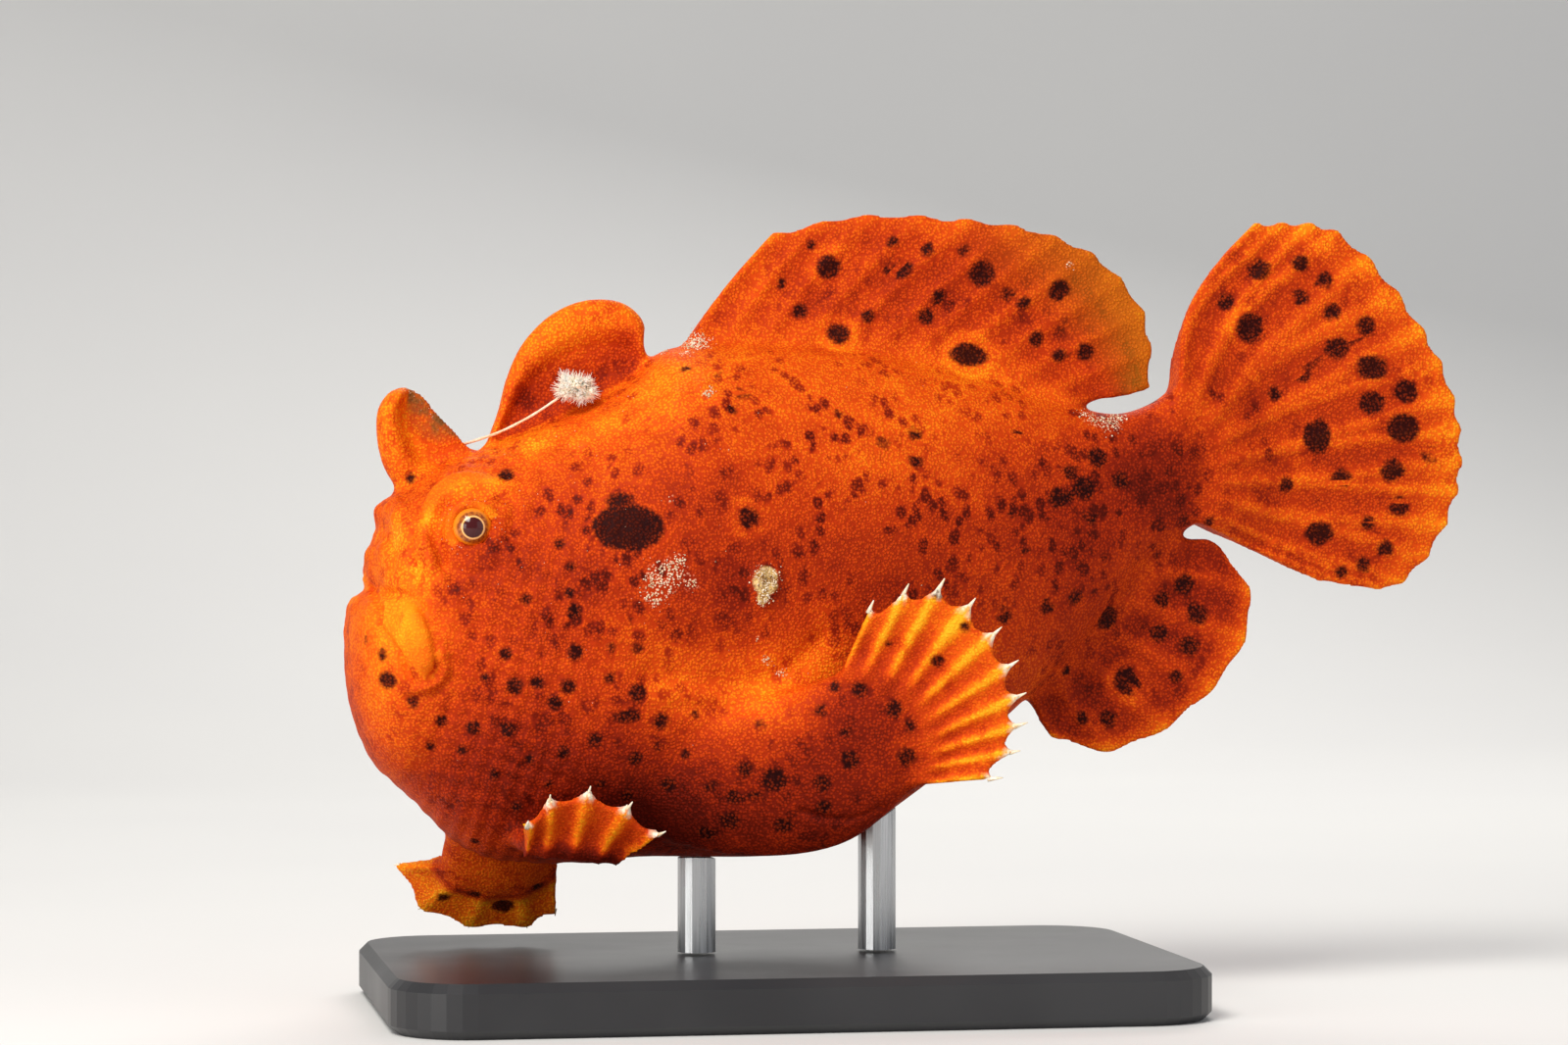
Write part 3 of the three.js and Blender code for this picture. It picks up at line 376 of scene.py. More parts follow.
# Fins: how thick the foot, edge and rays are, how far the rays pass the web, and the root and rim lines
fins = {
    "dorsal": dict(rays=12, stump=2.0, edge=0.3, ridge=0.36, scallop=0.5, sink=3.0, wave=0.7, bow=(-0.4, 0.2),
        root=[[-10.6, 75.4], [-2.6, 75.7], [5.2, 75.3], [12.8, 74.5], [20.0, 73.0], [27.4, 71.2], [35.4, 69.0]],
        tip=[[-0.4, 88.2], [9.8, 90.4], [20.6, 90.2], [30.2, 89.0], [38.4, 85.6], [43.8, 79.0], [44.3, 70.6]]),
    "anal": dict(rays=7, stump=1.7, edge=0.3, ridge=0.38, scallop=0.5, sink=3.0, wave=0.6, bow=(1.2, 0.9),
        root=[[46.4, 53.2], [43.6, 49.7], [40.8, 46.4], [38.2, 43.4], [35.4, 40.6], [32.4, 37.8], [29.4, 35.4]],
        tip=[[53.0, 52.0], [56.3, 47.4], [55.4, 41.6], [51.4, 36.0], [45.8, 31.4], [39.2, 29.0], [32.4, 30.8]]),
    "caudal": dict(rays=9, stump=2.7, edge=0.3, ridge=0.42, scallop=0.6, sink=2.6, wave=0.9, bow=(-2.6, 0.6),
        forked=True,
        root=[[47.2, 71.2], [49.4, 68.0], [50.7, 64.8], [50.9, 62.0], [50.7, 59.4], [50.2, 57.2], [49.4, 55.5]],
        tip=[[57.2, 90.1], [66.4, 89.5], [76.3, 79.1], [81.2, 68.0], [81.1, 57.8], [74.6, 48.2], [64.6, 48.6]]),
    "pectoral": dict(rays=10, stump=1.4, edge=0.3, ridge=0.55, scallop=2.0, sink=2.4,
        root=[[4.2, 39.0, -19.6], [6.7, 38.3, -20.2], [9.2, 37.1, -20.6], [11.3, 35.9, -20.8], [12.7, 34.2, -20.8],
              [13.5, 32.2, -20.7], [13.8, 30.4, -20.4], [13.7, 28.4, -20.0], [13.1, 26.3, -19.6]],
        tip=[[6.2, 44.6, -22.4], [10.2, 46.6, -24.0], [14.2, 46.8, -25.0], [17.6, 44.2, -25.6], [20.0, 40.6, -25.8],
             [21.4, 36.9, -25.6], [21.7, 33.4, -25.0], [21.3, 30.2, -24.2], [19.0, 27.0, -23.2]]),
    "pelvic": dict(rays=5, stump=1.0, edge=0.32, ridge=0.75, scallop=1.6, sink=0.9,
        root=[[-30.4, 19.6, -13.6], [-27.9, 19.6, -14.6], [-25.2, 19.4, -15.0], [-22.4, 19.0, -14.8],
              [-19.8, 18.7, -14.0]],
        tip=[[-30.6, 21.8, -18.0], [-28.2, 24.2, -18.8], [-24.2, 25.0, -19.4], [-20.1, 23.4, -19.4],
             [-16.7, 20.8, -18.8]]),
    "pelvicFar": dict(rays=5, stump=1.2, edge=0.32, ridge=0.5, scallop=0.9, sink=1.6,
        root=[[-37.4, 16.4, 8.8], [-35.6, 14.2, 9.6], [-32.2, 13.2, 10.0], [-28.2, 13.4, 9.8], [-24.2, 15.6, 8.8]],
        tip=[[-41.6, 15.7, 13.2], [-38.8, 11.0, 13.8], [-33.4, 8.9, 14.2], [-27.0, 8.8, 14.0], [-23.7, 10.4, 13.0]]),
}
finGrid = {"perRay": 12, "rows": 40}

# Arms and legs: upper and lower edge, from inside the body to the ends of the fin's root
limbs = {
    "arm": dict(thick=[5.0, 4.4, 3.6, 1.7], fin="pectoral",
        upper=[[-15.0, 35.8, -12.0], [-7.6, 35.8, -15.6], [-1.6, 36.6, -17.8], [4.2, 39.0, -19.6]],
        lower=[[-13.0, 19.6, -8.0], [-4.0, 18.2, -11.6], [5.4, 19.8, -15.4], [13.1, 26.3, -19.6]]),
    "leg": dict(thick=[2.6, 2.4, 2.0, 1.6], fin="pelvic",
        upper=[[-32.0, 21.4, -4.0], [-31.8, 20.6, -8.0], [-31.2, 20.0, -11.4], [-30.4, 19.6, -13.6]],
        lower=[[-17.4, 21.2, -4.0], [-17.8, 20.2, -8.0], [-18.6, 19.2, -11.4], [-19.8, 18.7, -14.0]]),
    "legFar": dict(thick=[2.6, 2.4, 2.0, 1.4], fin="pelvicFar",
        upper=[[-37.6, 21.4, 3.4], [-37.4, 19.4, 5.4], [-37.4, 17.6, 7.4], [-37.4, 16.4, 8.8]],
        lower=[[-24.4, 20.6, 3.4], [-24.6, 18.6, 5.6], [-24.2, 16.9, 7.6], [-24.2, 15.6, 8.8]]),
}
rayTips = []       # point and direction of each ray's end


def addFin(name):
    fin = fins[name]
    forked = fin.get("forked", False)
    root, tip = points3(fin["root"]), points3(fin["tip"])
    rays, rows = fin["rays"], finGrid["rows"]
    columns = (rays - 1) * finGrid["perRay"]
    v = np.concatenate([[-1.0, -0.5], np.linspace(0, 1, rows + 1)])[:, None] * np.ones((1, columns + 1))
    u = np.linspace(0, 1, columns + 1)[None, :] * np.ones_like(v)
    above = np.maximum(v, 0)
    fork = (0.07 + 0.17 * smoothstep(0.35, 1, above)) if forked else np.zeros_like(v)
    place = -fork + u * (rays - 1 + 2 * fork)
    crest = np.zeros_like(v)
    wide = 0.13 if forked else 0.2
    for k in range(rays):
        for branch in ((-fork, fork) if forked else (fork,)):
            crest = np.maximum(crest, np.exp(-((place - k - branch) / wide) ** 2))
    if fin["scallop"] >= 1.5:
        near = abs(place - np.round(place))
        reachOut = np.exp(-near / 0.17) - 0.05
    else:
        reachOut = np.sqrt(crest) if not forked else crest
    start, end = curveAt(root, u), curveAt(tip, u)
    length = np.linalg.norm(end - start, axis=-1)
    reach = np.where(v < 0, v * fin["sink"] / length, v * (1 + fin["scallop"] * reachOut * above ** 2 / length))
    sheet = start + (end - start) * reach[..., None]
    bow = np.sin(math.pi * above) * (1 - u) ** 3
    wave = fin.get("wave", 0) * np.sin(2 * math.pi * (1.3 * u + 0.15)) * above ** 1.5
    sheet[..., 0] += fin.get("bow", (0, 0))[0] * bow
    sheet[..., 2] += fin.get("bow", (0, 0))[1] * bow
    sheet[..., 1] += wave
    stump = (fin["stump"] - fin["edge"]) * (1 - smoothstep(0, 0.42, above))
    half = fin["edge"] + stump + fin["ridge"] * crest * (1 - 0.75 * smoothstep(0.7, 1, above))
    addBlade(sheet, half, regionOf[name], crest, above, mirror=name == "pectoral")
    for k in range(rays):
        i = int(round(k * finGrid["perRay"]))
        outward = sheet[-1, i] - sheet[-4, i]
        outward /= np.linalg.norm(outward)
        rayTips.append((name, sheet[-1, i], outward))
        if name == "pectoral":
            rayTips.append((name, sheet[-1, i] * [1, -1, 1], outward * [1, -1, 1]))


def addLobe(name):
    limb = limbs[name]
    upper, lower, root = points3(limb["upper"]), points3(limb["lower"]), points3(fins[limb["fin"]]["root"])
    v, s = np.meshgrid(np.linspace(0, 1, 40), np.linspace(0, 1, 49), indexing="ij")
    u = (1 - np.cos(math.pi * s)) / 2
    straight = curveAt(upper, v) * (1 - u[..., None]) + curveAt(lower, v) * u[..., None]
    chord = upper[-1] * (1 - u[..., None]) + lower[-1] * u[..., None]
    sheet = straight + (curveAt(root, u) - chord) * smoothstep(0, 1, v)[..., None]
    thick = [[k / (len(limb["thick"]) - 1), t] for k, t in enumerate(limb["thick"])]
    half = 0.1 + tableAt(thick, v) * np.sin(math.pi * s) ** 0.8 * (1 - 0.2 * smoothstep(0.8, 1, v))
    addBlade(sheet, half, regionOf[name], 0.0, v, mirror=name == "arm")


# Second dorsal spine (horn) with its web, and third dorsal spine (hump) with its rolled rim
spines = {
    "horn": dict(core=2.3, web=0.35, coreShare=0.42,
        front=[[-42.6, 57.4], [-43.6, 59.2], [-45.0, 62.2], [-45.6, 65.4], [-45.4, 68.2], [-44.2, 70.0],
               [-43.0, 70.6]],
        rear=[[-33.2, 61.6], [-34.4, 63.6], [-36.6, 65.6], [-38.2, 67.2], [-39.6, 68.8], [-40.6, 69.9],
              [-41.6, 70.5]]),
    "hump": dict(rim=1.7, web=0.7, stump=2.2, sink=2.0,
        outline=[[-33.4, 63.8], [-31.8, 67.9], [-30.8, 71.8], [-28.9, 75.8], [-25.4, 79.2], [-21.4, 80.7],
                 [-17.4, 80.3], [-15.2, 78.2], [-15.2, 75.6], [-14.4, 73.6]]),
}


def addHorn():
    horn = spines["horn"]
    v, u = np.meshgrid(np.linspace(0, 1, 40), np.linspace(0, 1, 40), indexing="ij")
    front, rear = points3(horn["front"]), points3(horn["rear"])
    sheet = curveAt(front, v) * (1 - u[..., None]) + curveAt(rear, v) * u[..., None]
    share = horn["coreShare"] + 0.25 * smoothstep(0.55, 1, v) + 0.3 * (1 - smoothstep(0, 0.3, v))
    swell = np.sin(math.pi * np.clip(u / share, 0, 1)) ** 0.7
    half = horn["web"] * (0.5 + 0.5 * smoothstep(0, 0.2, u)) \
        + horn["core"] * swell * (1 - 0.75 * smoothstep(0.8, 1, v))
    addBlade(sheet, half, regionOf["horn"], u, v)


def addHump():
    hump = spines["hump"]
    outline, base = points3(hump["outline"]), points3(bodyForm["back"][2:5])
    t, u = np.meshgrid(np.linspace(0, 1, 44), np.linspace(0, 1, 70), indexing="ij")
    v = 1 - (1 - t) ** 1.4
    start = curveAt(base, u) + np.array([0, 0, -hump["sink"]])
    end = evenly(outline, u.reshape(-1)).reshape(u.shape + (3,))
    sheet = start + (end - start) * v[..., None]
    foot = (hump["stump"] - hump["web"]) * (1 - smoothstep(0.05, 0.4, v))
    fall = np.sqrt(np.maximum(0, 1 - (np.maximum(v - 0.8, 0) / 0.2) ** 2))
    bead = hump["rim"] * smoothstep(0.45, 0.8, v) * fall
    ends = smoothstep(0, 0.06, u) * smoothstep(0, 0.06, 1 - u)
    half = 0.25 + np.maximum(hump["web"] * (1 - smoothstep(0.85, 1, v)) + foot, bead) * (0.35 + 0.65 * ends)
    edge = np.maximum(v, np.maximum(smoothstep(0.14, 0.02, u), smoothstep(0.9, 0.98, u)) * smoothstep(0.1, 0.4, v))
    addBlade(sheet, half, regionOf["hump"], edge, v)


for finName in fins:
    addFin(finName)
for limbName in limbs:
    addLobe(limbName)
addHorn()
addHump()
print("fins, limbs and spines shaped")


# One skin round all the forms: remesh size in millimetres, and rounds of smoothing, most of them at the joints
skinForm = {"voxel": 0.36, "quickVoxel": 0.7, "triangles": 196000, "bodyRounds": 6, "jointRounds": 26,
            "lastRounds": 2, "jointReach": 1.5, "jointPull": 1.3, "trimHold": 0.12, "limbPull": 0.45,
            "finWeight": 0.35}


def meshOf(name, points, faces, scale=metres):
    mesh = bpy.data.meshes.new(name)
    mesh.from_pydata((np.asarray(points) * scale).tolist(), [], [tuple(map(int, f)) for f in faces])
    mesh.update()
    return mesh


def held(mesh, name="holder"):
    holder = bpy.data.objects.new(name, mesh)
    scene.collection.objects.link(holder)
    return holder


def applied(holder):
    graph = bpy.context.evaluated_depsgraph_get()
    result = bpy.data.meshes.new_from_object(holder.evaluated_get(graph))
    bpy.data.objects.remove(holder)
    return result


def evaluated(mesh, kind, **settings):
    holder = held(mesh)
    modifier = holder.modifiers.new(kind.lower(), kind)
    for key, value in settings.items():
        setattr(modifier, key, value)
    return applied(holder)


def pointsOf(mesh):
    flat = np.empty(len(mesh.vertices) * 3)
    mesh.vertices.foreach_get("co", flat)
    return flat.reshape(-1, 3)


def edgesOf(mesh):
    flat = np.empty(len(mesh.edges) * 2, dtype=np.int64)
    mesh.edges.foreach_get("vertices", flat)
    return flat.reshape(-1, 2)


def normalsOf(mesh):
    flat = np.empty(len(mesh.vertices) * 3)
    mesh.vertex_normals.foreach_get("vector", flat)
    return flat.reshape(-1, 3)


def averaged(points, edges, count):
    total = np.zeros((count, points.shape[1]))
    for k in range(points.shape[1]):
        total[:, k] = np.bincount(edges[:, 0], points[edges[:, 1], k], count) \
            + np.bincount(edges[:, 1], points[edges[:, 0], k], count)
    degree = np.bincount(edges.reshape(-1), minlength=count)
    return total / np.maximum(degree, 1)[:, None]


def smoothed(points, edges, weight, rounds, hold=0.53):
    count = len(points)
    for k in range(rounds):
        points = points + 0.5 * weight[:, None] * (averaged(points, edges, count) - points)
        points = points - hold * weight[:, None] * (averaged(points, edges, count) - points)
    return points


def relaxed(points, edges, weight, rounds):
    for k in range(rounds):
        points = points + 0.6 * weight[:, None] * (averaged(points, edges, len(points)) - points)
    return points


sourcePoints = np.vstack(parts.points)
sourceLabels = np.vstack(parts.labels)


def treeOf(points):
    tree = kdtree.KDTree(len(points))
    for k, p in enumerate(points):
        tree.insert(p, k)
    tree.balance()
    return tree


def nearest(tree, points):
    found = [tree.find(p) for p in points.tolist()]
    return np.array([f[1] for f in found]), np.array([f[2] for f in found])


limbIds = np.nonzero(sourceLabels[:, 0] != 0)[0]
limbNear = treeOf(sourcePoints[limbIds])

voxel = skinForm["voxel"]
skinMesh = evaluated(meshOf("forms", sourcePoints, parts.faces, 1.0), "REMESH", mode="VOXEL", voxel_size=voxel)
print("remeshed", len(skinMesh.vertices))
skinPoints, skinEdges = pointsOf(skinMesh), edgesOf(skinMesh)


def bodyDistance(points):
    return np.array([(bodyTree.find_nearest(p)[3] or 0.0) for p in points.tolist()])


def labelled(points):
    index, away = nearest(limbNear, points)
    toBody = bodyDistance(points)
    labels = sourceLabels[limbIds][index].copy()
    onBody = toBody < away
    labels[onBody] = 0.0
    return labels, away, toBody


labels, away, toBody = labelled(skinPoints)
reach = skinForm["jointReach"]
isTrim = labels[:, 0] == regionOf["trim"]
isFin = np.isin(labels[:, 0], [regionOf[k] for k in fins]) & (labels[:, 2] > 0.25)
joint = np.exp(-(away / reach) ** 2) * np.exp(-(toBody / reach) ** 2)
joint[isTrim] *= skinForm["trimHold"]
limbFin = np.isin(labels[:, 0], [regionOf[k] for k in ("pectoral", "pelvic", "pelvicFar")])
limbEnd = np.isin(labels[:, 0], [regionOf[k] for k in limbs])
joint = np.maximum(joint, skinForm["limbPull"] * limbFin * smoothstep(0.24, 0.04, labels[:, 2]))
joint = np.maximum(joint, skinForm["limbPull"] * limbEnd * smoothstep(0.76, 0.96, labels[:, 2]))
finWeight = np.where(isFin, skinForm["finWeight"], 1.0)
skinPoints = smoothed(skinPoints, skinEdges, finWeight, skinForm["bodyRounds"])
jointWeight = np.clip(joint * skinForm["jointPull"], 0, 1)
skinPoints = relaxed(skinPoints, skinEdges, jointWeight, skinForm["jointRounds"])
skinPoints = relaxed(skinPoints, skinEdges, np.where(isFin, 0.3, 0.5), skinForm["lastRounds"])


def setPoints(mesh, points):
    mesh.vertices.foreach_set("co", points.reshape(-1))
    mesh.update()


setPoints(skinMesh, skinPoints)
print("skin smoothed")


# Grooves and folds: a line in the picture, its depth (below zero is a groove) and its half width in millimetres
strokes = [
    dict(line=[(379, 600), (384, 612), (388, 621), (386, 638), (396, 652), (406, 665), (412, 680), (420, 696)],
         height=-0.75, width=0.38),
    dict(line=[(392, 604), (412, 606), (426, 614), (434, 624), (441, 641), (446, 663), (447, 683), (438, 696)],
         height=-0.5, width=0.45),
    dict(line=[(449, 668), (456, 680), (450, 694), (436, 702), (420, 704)], height=0.5, width=0.55),
    dict(line=[(462, 672), (462, 690), (450, 704), (432, 712), (414, 712)], height=-0.4, width=0.5),
    dict(line=[(818, 828), (840, 835), (864, 837), (884, 832), (902, 822)], height=-0.4, width=0.4),
    dict(line=[(688, 722), (720, 722), (754, 724), (790, 722), (816, 708)], height=-0.35, width=0.9),
    dict(line=[(664, 690), (700, 694), (740, 698), (780, 694), (812, 678), (838, 652)], height=-0.55, width=1.4),
    dict(line=[(403, 528), (416, 514), (434, 508)], height=0.35, width=0.5),
    dict(line=[(392, 548), (404, 566), (398, 588)], height=-0.3, width=0.5),
    dict(line=[(414, 552), (424, 580), (420, 600)], height=-0.25, width=0.6),
    dict(line=[(452, 574), (480, 586), (512, 578)], height=-0.25, width=0.7),
    dict(line=[(508, 500), (526, 520), (524, 550)], height=-0.35, width=0.7),
    dict(line=[(440, 578), (434, 552), (438, 526), (452, 506), (474, 495), (498, 494), (520, 500)], height=0.55,
         width=0.75),
    dict(line=[(452, 574), (446, 550), (449, 530), (460, 514), (478, 507), (498, 508)], height=-0.4, width=0.4),
    dict(line=[(424, 590), (418, 566), (420, 540)], height=-0.35, width=0.5),
]
# Lumps: px, py, radius in millimetres, height
lumps = [
    (782, 592, 1.5, 0.8), (779, 611, 0.8, 0.6), (792, 584, 0.5, 0.5), (774, 586, 0.55, 0.5), (790, 599, 0.5, 0.4),
    (773, 597, 0.45, 0.35), (783, 592, 0.6, -0.7), (783, 592, 0.25, 0.7), (540, 452, 1.6, 0.5), (566, 440, 1.4, 0.45),
    (592, 452, 1.3, 0.4), (560, 470, 1.2, 0.35), (520, 470, 1.4, 0.45), (610, 436, 1.5, 0.4), (640, 428, 1.3, 0.35),
    (584, 482, 1.2, 0.3), (548, 494, 1.1, 0.35), (626, 470, 1.2, 0.3), (534, 520, 1.0, 0.3), (660, 452, 1.2, 0.3),
    (430, 560, 1.1, 0.25), (444, 590, 1.2, 0.25), (410, 572, 0.9, 0.25), (468, 606, 1.3, 0.25), (404, 520, 1.0, 0.35),
    (420, 532, 0.9, 0.3), (690, 404, 1.2, 0.4), (716, 394, 1.2, 0.4), (664, 420, 1.2, 0.35), (736, 410, 1.0, 0.3),
    (402, 716, 1.6, 0.2), (386, 690, 1.4, 0.2)]
# Lumps on the profile: x, y, z, radius, height
profileLumps = [(-45.2, 2.0, 56.4, 1.5, 0.7), (-46.0, 2.4, 51.6, 1.3, 0.45), (-45.8, 0.0, 53.8, 1.2, 0.4),
                (-44.6, 4.6, 57.2, 1.3, 0.4), (-44.9, 6.2, 53.0, 1.3, 0.35), (-46.6, 3.6, 49.6, 1.2, 0.4),
                (-48.4, 3.0, 46.0, 1.3, 0.35), (-48.9, 0.0, 43.0, 1.6, 0.2)]


class Surface:
    def __init__(self, points, mesh):
        faces = [tuple(p.vertices) for p in mesh.polygons]
        self.tree = BVHTree.FromPolygons([Vector(p) for p in points], faces)
        self.eye = Vector(eyePoint())

    def at(self, px, py):
        hit = self.tree.ray_cast(self.eye, Vector(pixelRay(px, py)))[0]
        return None if hit is None else np.array(hit)


def strokePoints(surface, line):
    found = []
    for (ax, ay), (bx, by) in zip(line[:-1], line[1:]):
        steps = max(2, int(math.hypot(bx - ax, by - ay) / 3))
        for k in range(steps):
            hit = surface.at(ax + (bx - ax) * k / steps, ay + (by - ay) * k / steps)
            if hit is not None:
                found.append(hit)
    return np.array(found)


def distanceTo(points, centres):
    best = np.full(len(points), 1e9)
    for c in centres:
        best = np.minimum(best, ((points - c) ** 2).sum(1))
    return np.sqrt(best)


def modelled(points, mesh):
    surface = Surface(points, mesh)
    normals = normalsOf(mesh)
    push = np.zeros(len(points))
    for stroke in strokes:
        path = strokePoints(surface, stroke["line"])
        for side in (1, -1):
            away = distanceTo(points, path * [1, side, 1])
            push += stroke["height"] * np.exp(-(away / stroke["width"]) ** 2)
    for px, py, radius, height in lumps:
        centre = surface.at(px, py)
        if centre is None:
            continue
        for side in (1, -1):
            away = distanceTo(points, [centre * [1, side, 1]])
            push += height * np.exp(-(away / radius) ** 2)
    for x, y, z, radius, height in profileLumps:
        away = np.minimum(distanceTo(points, [[x, y, z]]), distanceTo(points, [[x, -y, z]]))
        push += height * np.exp(-(away / radius) ** 2)
    push += 0.16 * np.sin(points @ [2.1, 0.4, 1.3]) * np.sin(points @ [-0.9, 0.7, 2.3] + 1.0) \
        * np.exp(-((points[:, 0] + 33) / 12) ** 2) * (labels[:, 0] == 0)
    return points + normals * push[:, None]


def socketed(points):
    for side in (-1, 1):
        centre = eyeCentre(side)
        wide = np.hypot(points[:, 0] - centre[0], points[:, 2] - centre[2])
        inside = (wide < 1.95) & (points[:, 1] * side > 6)
        deep = centre[1] - side * np.sqrt(np.maximum(2.75 ** 2 - wide ** 2, 0)) * 0.2
        points[inside, 1] = deep[inside]
    return points


skinPoints = socketed(modelled(skinPoints, skinMesh))
setPoints(skinMesh, skinPoints)
triangles = sum(len(p.vertices) - 2 for p in skinMesh.polygons)
if triangles > skinForm["triangles"]:
    skinMesh = evaluated(skinMesh, "DECIMATE", ratio=skinForm["triangles"] / triangles)
skinPoints, skinEdges = pointsOf(skinMesh), edgesOf(skinMesh)
labels = labelled(skinPoints)[0]
print("skin modelled", len(skinPoints))


# Spots by picture place and radius, in pixels; a fourth number is the second radius
bodySpots = [
    (641, 538, 38, 25), (632, 511, 15, 9), (570, 554, 6.5), (516, 486, 8), (586, 624, 8), (587, 666, 8.5),
    (580, 701, 9), (548, 696, 7), (516, 667, 7), (525, 701, 9), (644, 634, 3), (624, 660, 5), (650, 661, 6),
    (390, 668, 6.5), (395, 694, 12, 9), (422, 716, 6), (373, 653, 3), (537, 611, 7), (580, 604, 5), (582, 578, 5),
    (622, 692, 6), (495, 690, 5), (483, 742, 8), (518, 744, 8.5), (450, 735, 6), (439, 761, 6), (471, 765, 6),
    (575, 768, 6), (649, 774, 8), (607, 755, 8), (641, 731, 15, 7), (674, 736, 9), (567, 717, 8), (651, 707, 9),
    (710, 728, 5.5), (763, 528, 12.5), (859, 521, 4), (700, 376, 5), (733, 382, 5), (856, 422, 6), (746, 418, 6),
    (901, 452, 8), (935, 471, 8), (934, 442, 9), (1028, 522, 7), (1038, 440, 6), (1092, 481, 9), (1119, 467, 12),
    (1107, 499, 13), (1080, 508, 12), (1113, 527, 9), (1143, 491, 10), (1025, 627, 10), (1097, 610, 9),
    (1069, 618, 10), (957, 601, 9), (1234, 532, 6), (1169, 414, 5), (484, 858, 6), (527, 823, 6), (419, 488, 6),
    (758, 396, 5), (768, 404, 5), (754, 406, 4), (777, 740, 6), (724, 803, 6), (749, 813, 8), (769, 813, 7),
    (839, 798, 9), (790, 795, 13), (761, 785, 9), (744, 837, 11), (721, 850, 9), (800, 842, 10), (841, 823, 8),
    (867, 775, 10), (925, 771, 10), (913, 723, 10), (928, 740, 6), (863, 747, 6), (877, 703, 8), (852, 700, 6),
    (957, 674, 6), (906, 656, 4), (837, 725, 7), (700, 770, 7), (682, 800, 8), (672, 762, 6), (640, 812, 6),
    (613, 800, 5), (560, 800, 6), (505, 790, 6), (540, 775, 5), (1000, 560, 5), (985, 640, 6), (1050, 560, 7)]
finSpots = [
    (846, 272, 13), (916, 274, 15, 10), (946, 254, 8), (911, 248, 7), (1002, 279, 14), (984, 256, 7),
    (1081, 296, 12), (855, 341, 12), (988, 362, 21, 13), (1058, 346, 9), (1108, 359, 10), (1081, 362, 8),
    (945, 323, 9), (957, 303, 8), (886, 323, 7), (816, 318, 8), (798, 290, 6), (828, 250, 5), (1030, 299, 8),
    (1045, 309, 8), (1276, 335, 16), (1285, 275, 12), (1327, 269, 9), (1352, 286, 9), (1251, 308, 9),
    (1327, 303, 9), (1359, 318, 10), (1394, 333, 11), (1364, 354, 13), (1400, 375, 17, 13), (1329, 382, 9),
    (1400, 411, 13), (1435, 399, 12), (1344, 444, 15, 19), (1432, 437, 18, 15), (1459, 463, 9), (1421, 480, 13),
    (1369, 488, 11), (1427, 516, 12), (1346, 544, 15, 13), (1397, 533, 8), (1414, 560, 9), (1391, 576, 9),
    (1369, 583, 7), (1313, 495, 8), (1300, 401, 8), (1129, 630, 13), (1151, 695, 15.5), (1208, 595, 11),
    (1185, 612, 9), (1222, 626, 12), (1182, 646, 10), (1214, 659, 11), (1131, 733, 10), (1103, 733, 8),
    (1199, 690, 7), (1088, 684, 6), (513, 923, 12), (485, 912, 7), (453, 915, 7), (549, 904, 6)]
softSpots = [
    (496, 571, 9), (539, 578, 10), (744, 613, 26), (800, 606, 12), (1203, 474, 24), (1081, 331, 13), (914, 334, 13),
    (851, 309, 13), (1280, 425, 11, 14), (1294, 460, 10, 14), (1184, 568, 13), (726, 512, 18, 14), (744, 485, 16, 12),
    (1200, 520, 22), (1170, 500, 18), (970, 300, 20), (1030, 330, 22), (1240, 400, 12), (1150, 640, 20),
    (600, 590, 18), (470, 600, 14), (520, 620, 20), (560, 650, 18), (760, 380, 10), (470, 520, 6), (1020, 480, 16),
    (1060, 470, 18), (960, 520, 16), (1100, 560, 20), (1010, 600, 18), (640, 575, 14), (690, 640, 20)]
haloSpots = [(855, 341, 12), (988, 362, 18), (1151, 695, 15), (1276, 335, 16), (846, 272, 13), (763, 528, 12)]
palePatches = [
    (678, 590, 22), (668, 606, 14), (692, 576, 12), (703, 596, 9), (782, 592, 15), (780, 612, 9), (685, 508, 6),
    (771, 654, 6), (782, 673, 6), (798, 688, 6), (713, 351, 15), (700, 360, 8), (720, 401, 6), (1091, 270, 5),
    (1112, 426, 13), (1130, 432, 14), (1142, 426, 9), (676, 360, 6), (724, 400, 5)]
warts = [(782, 592, 15), (779, 611, 7)]
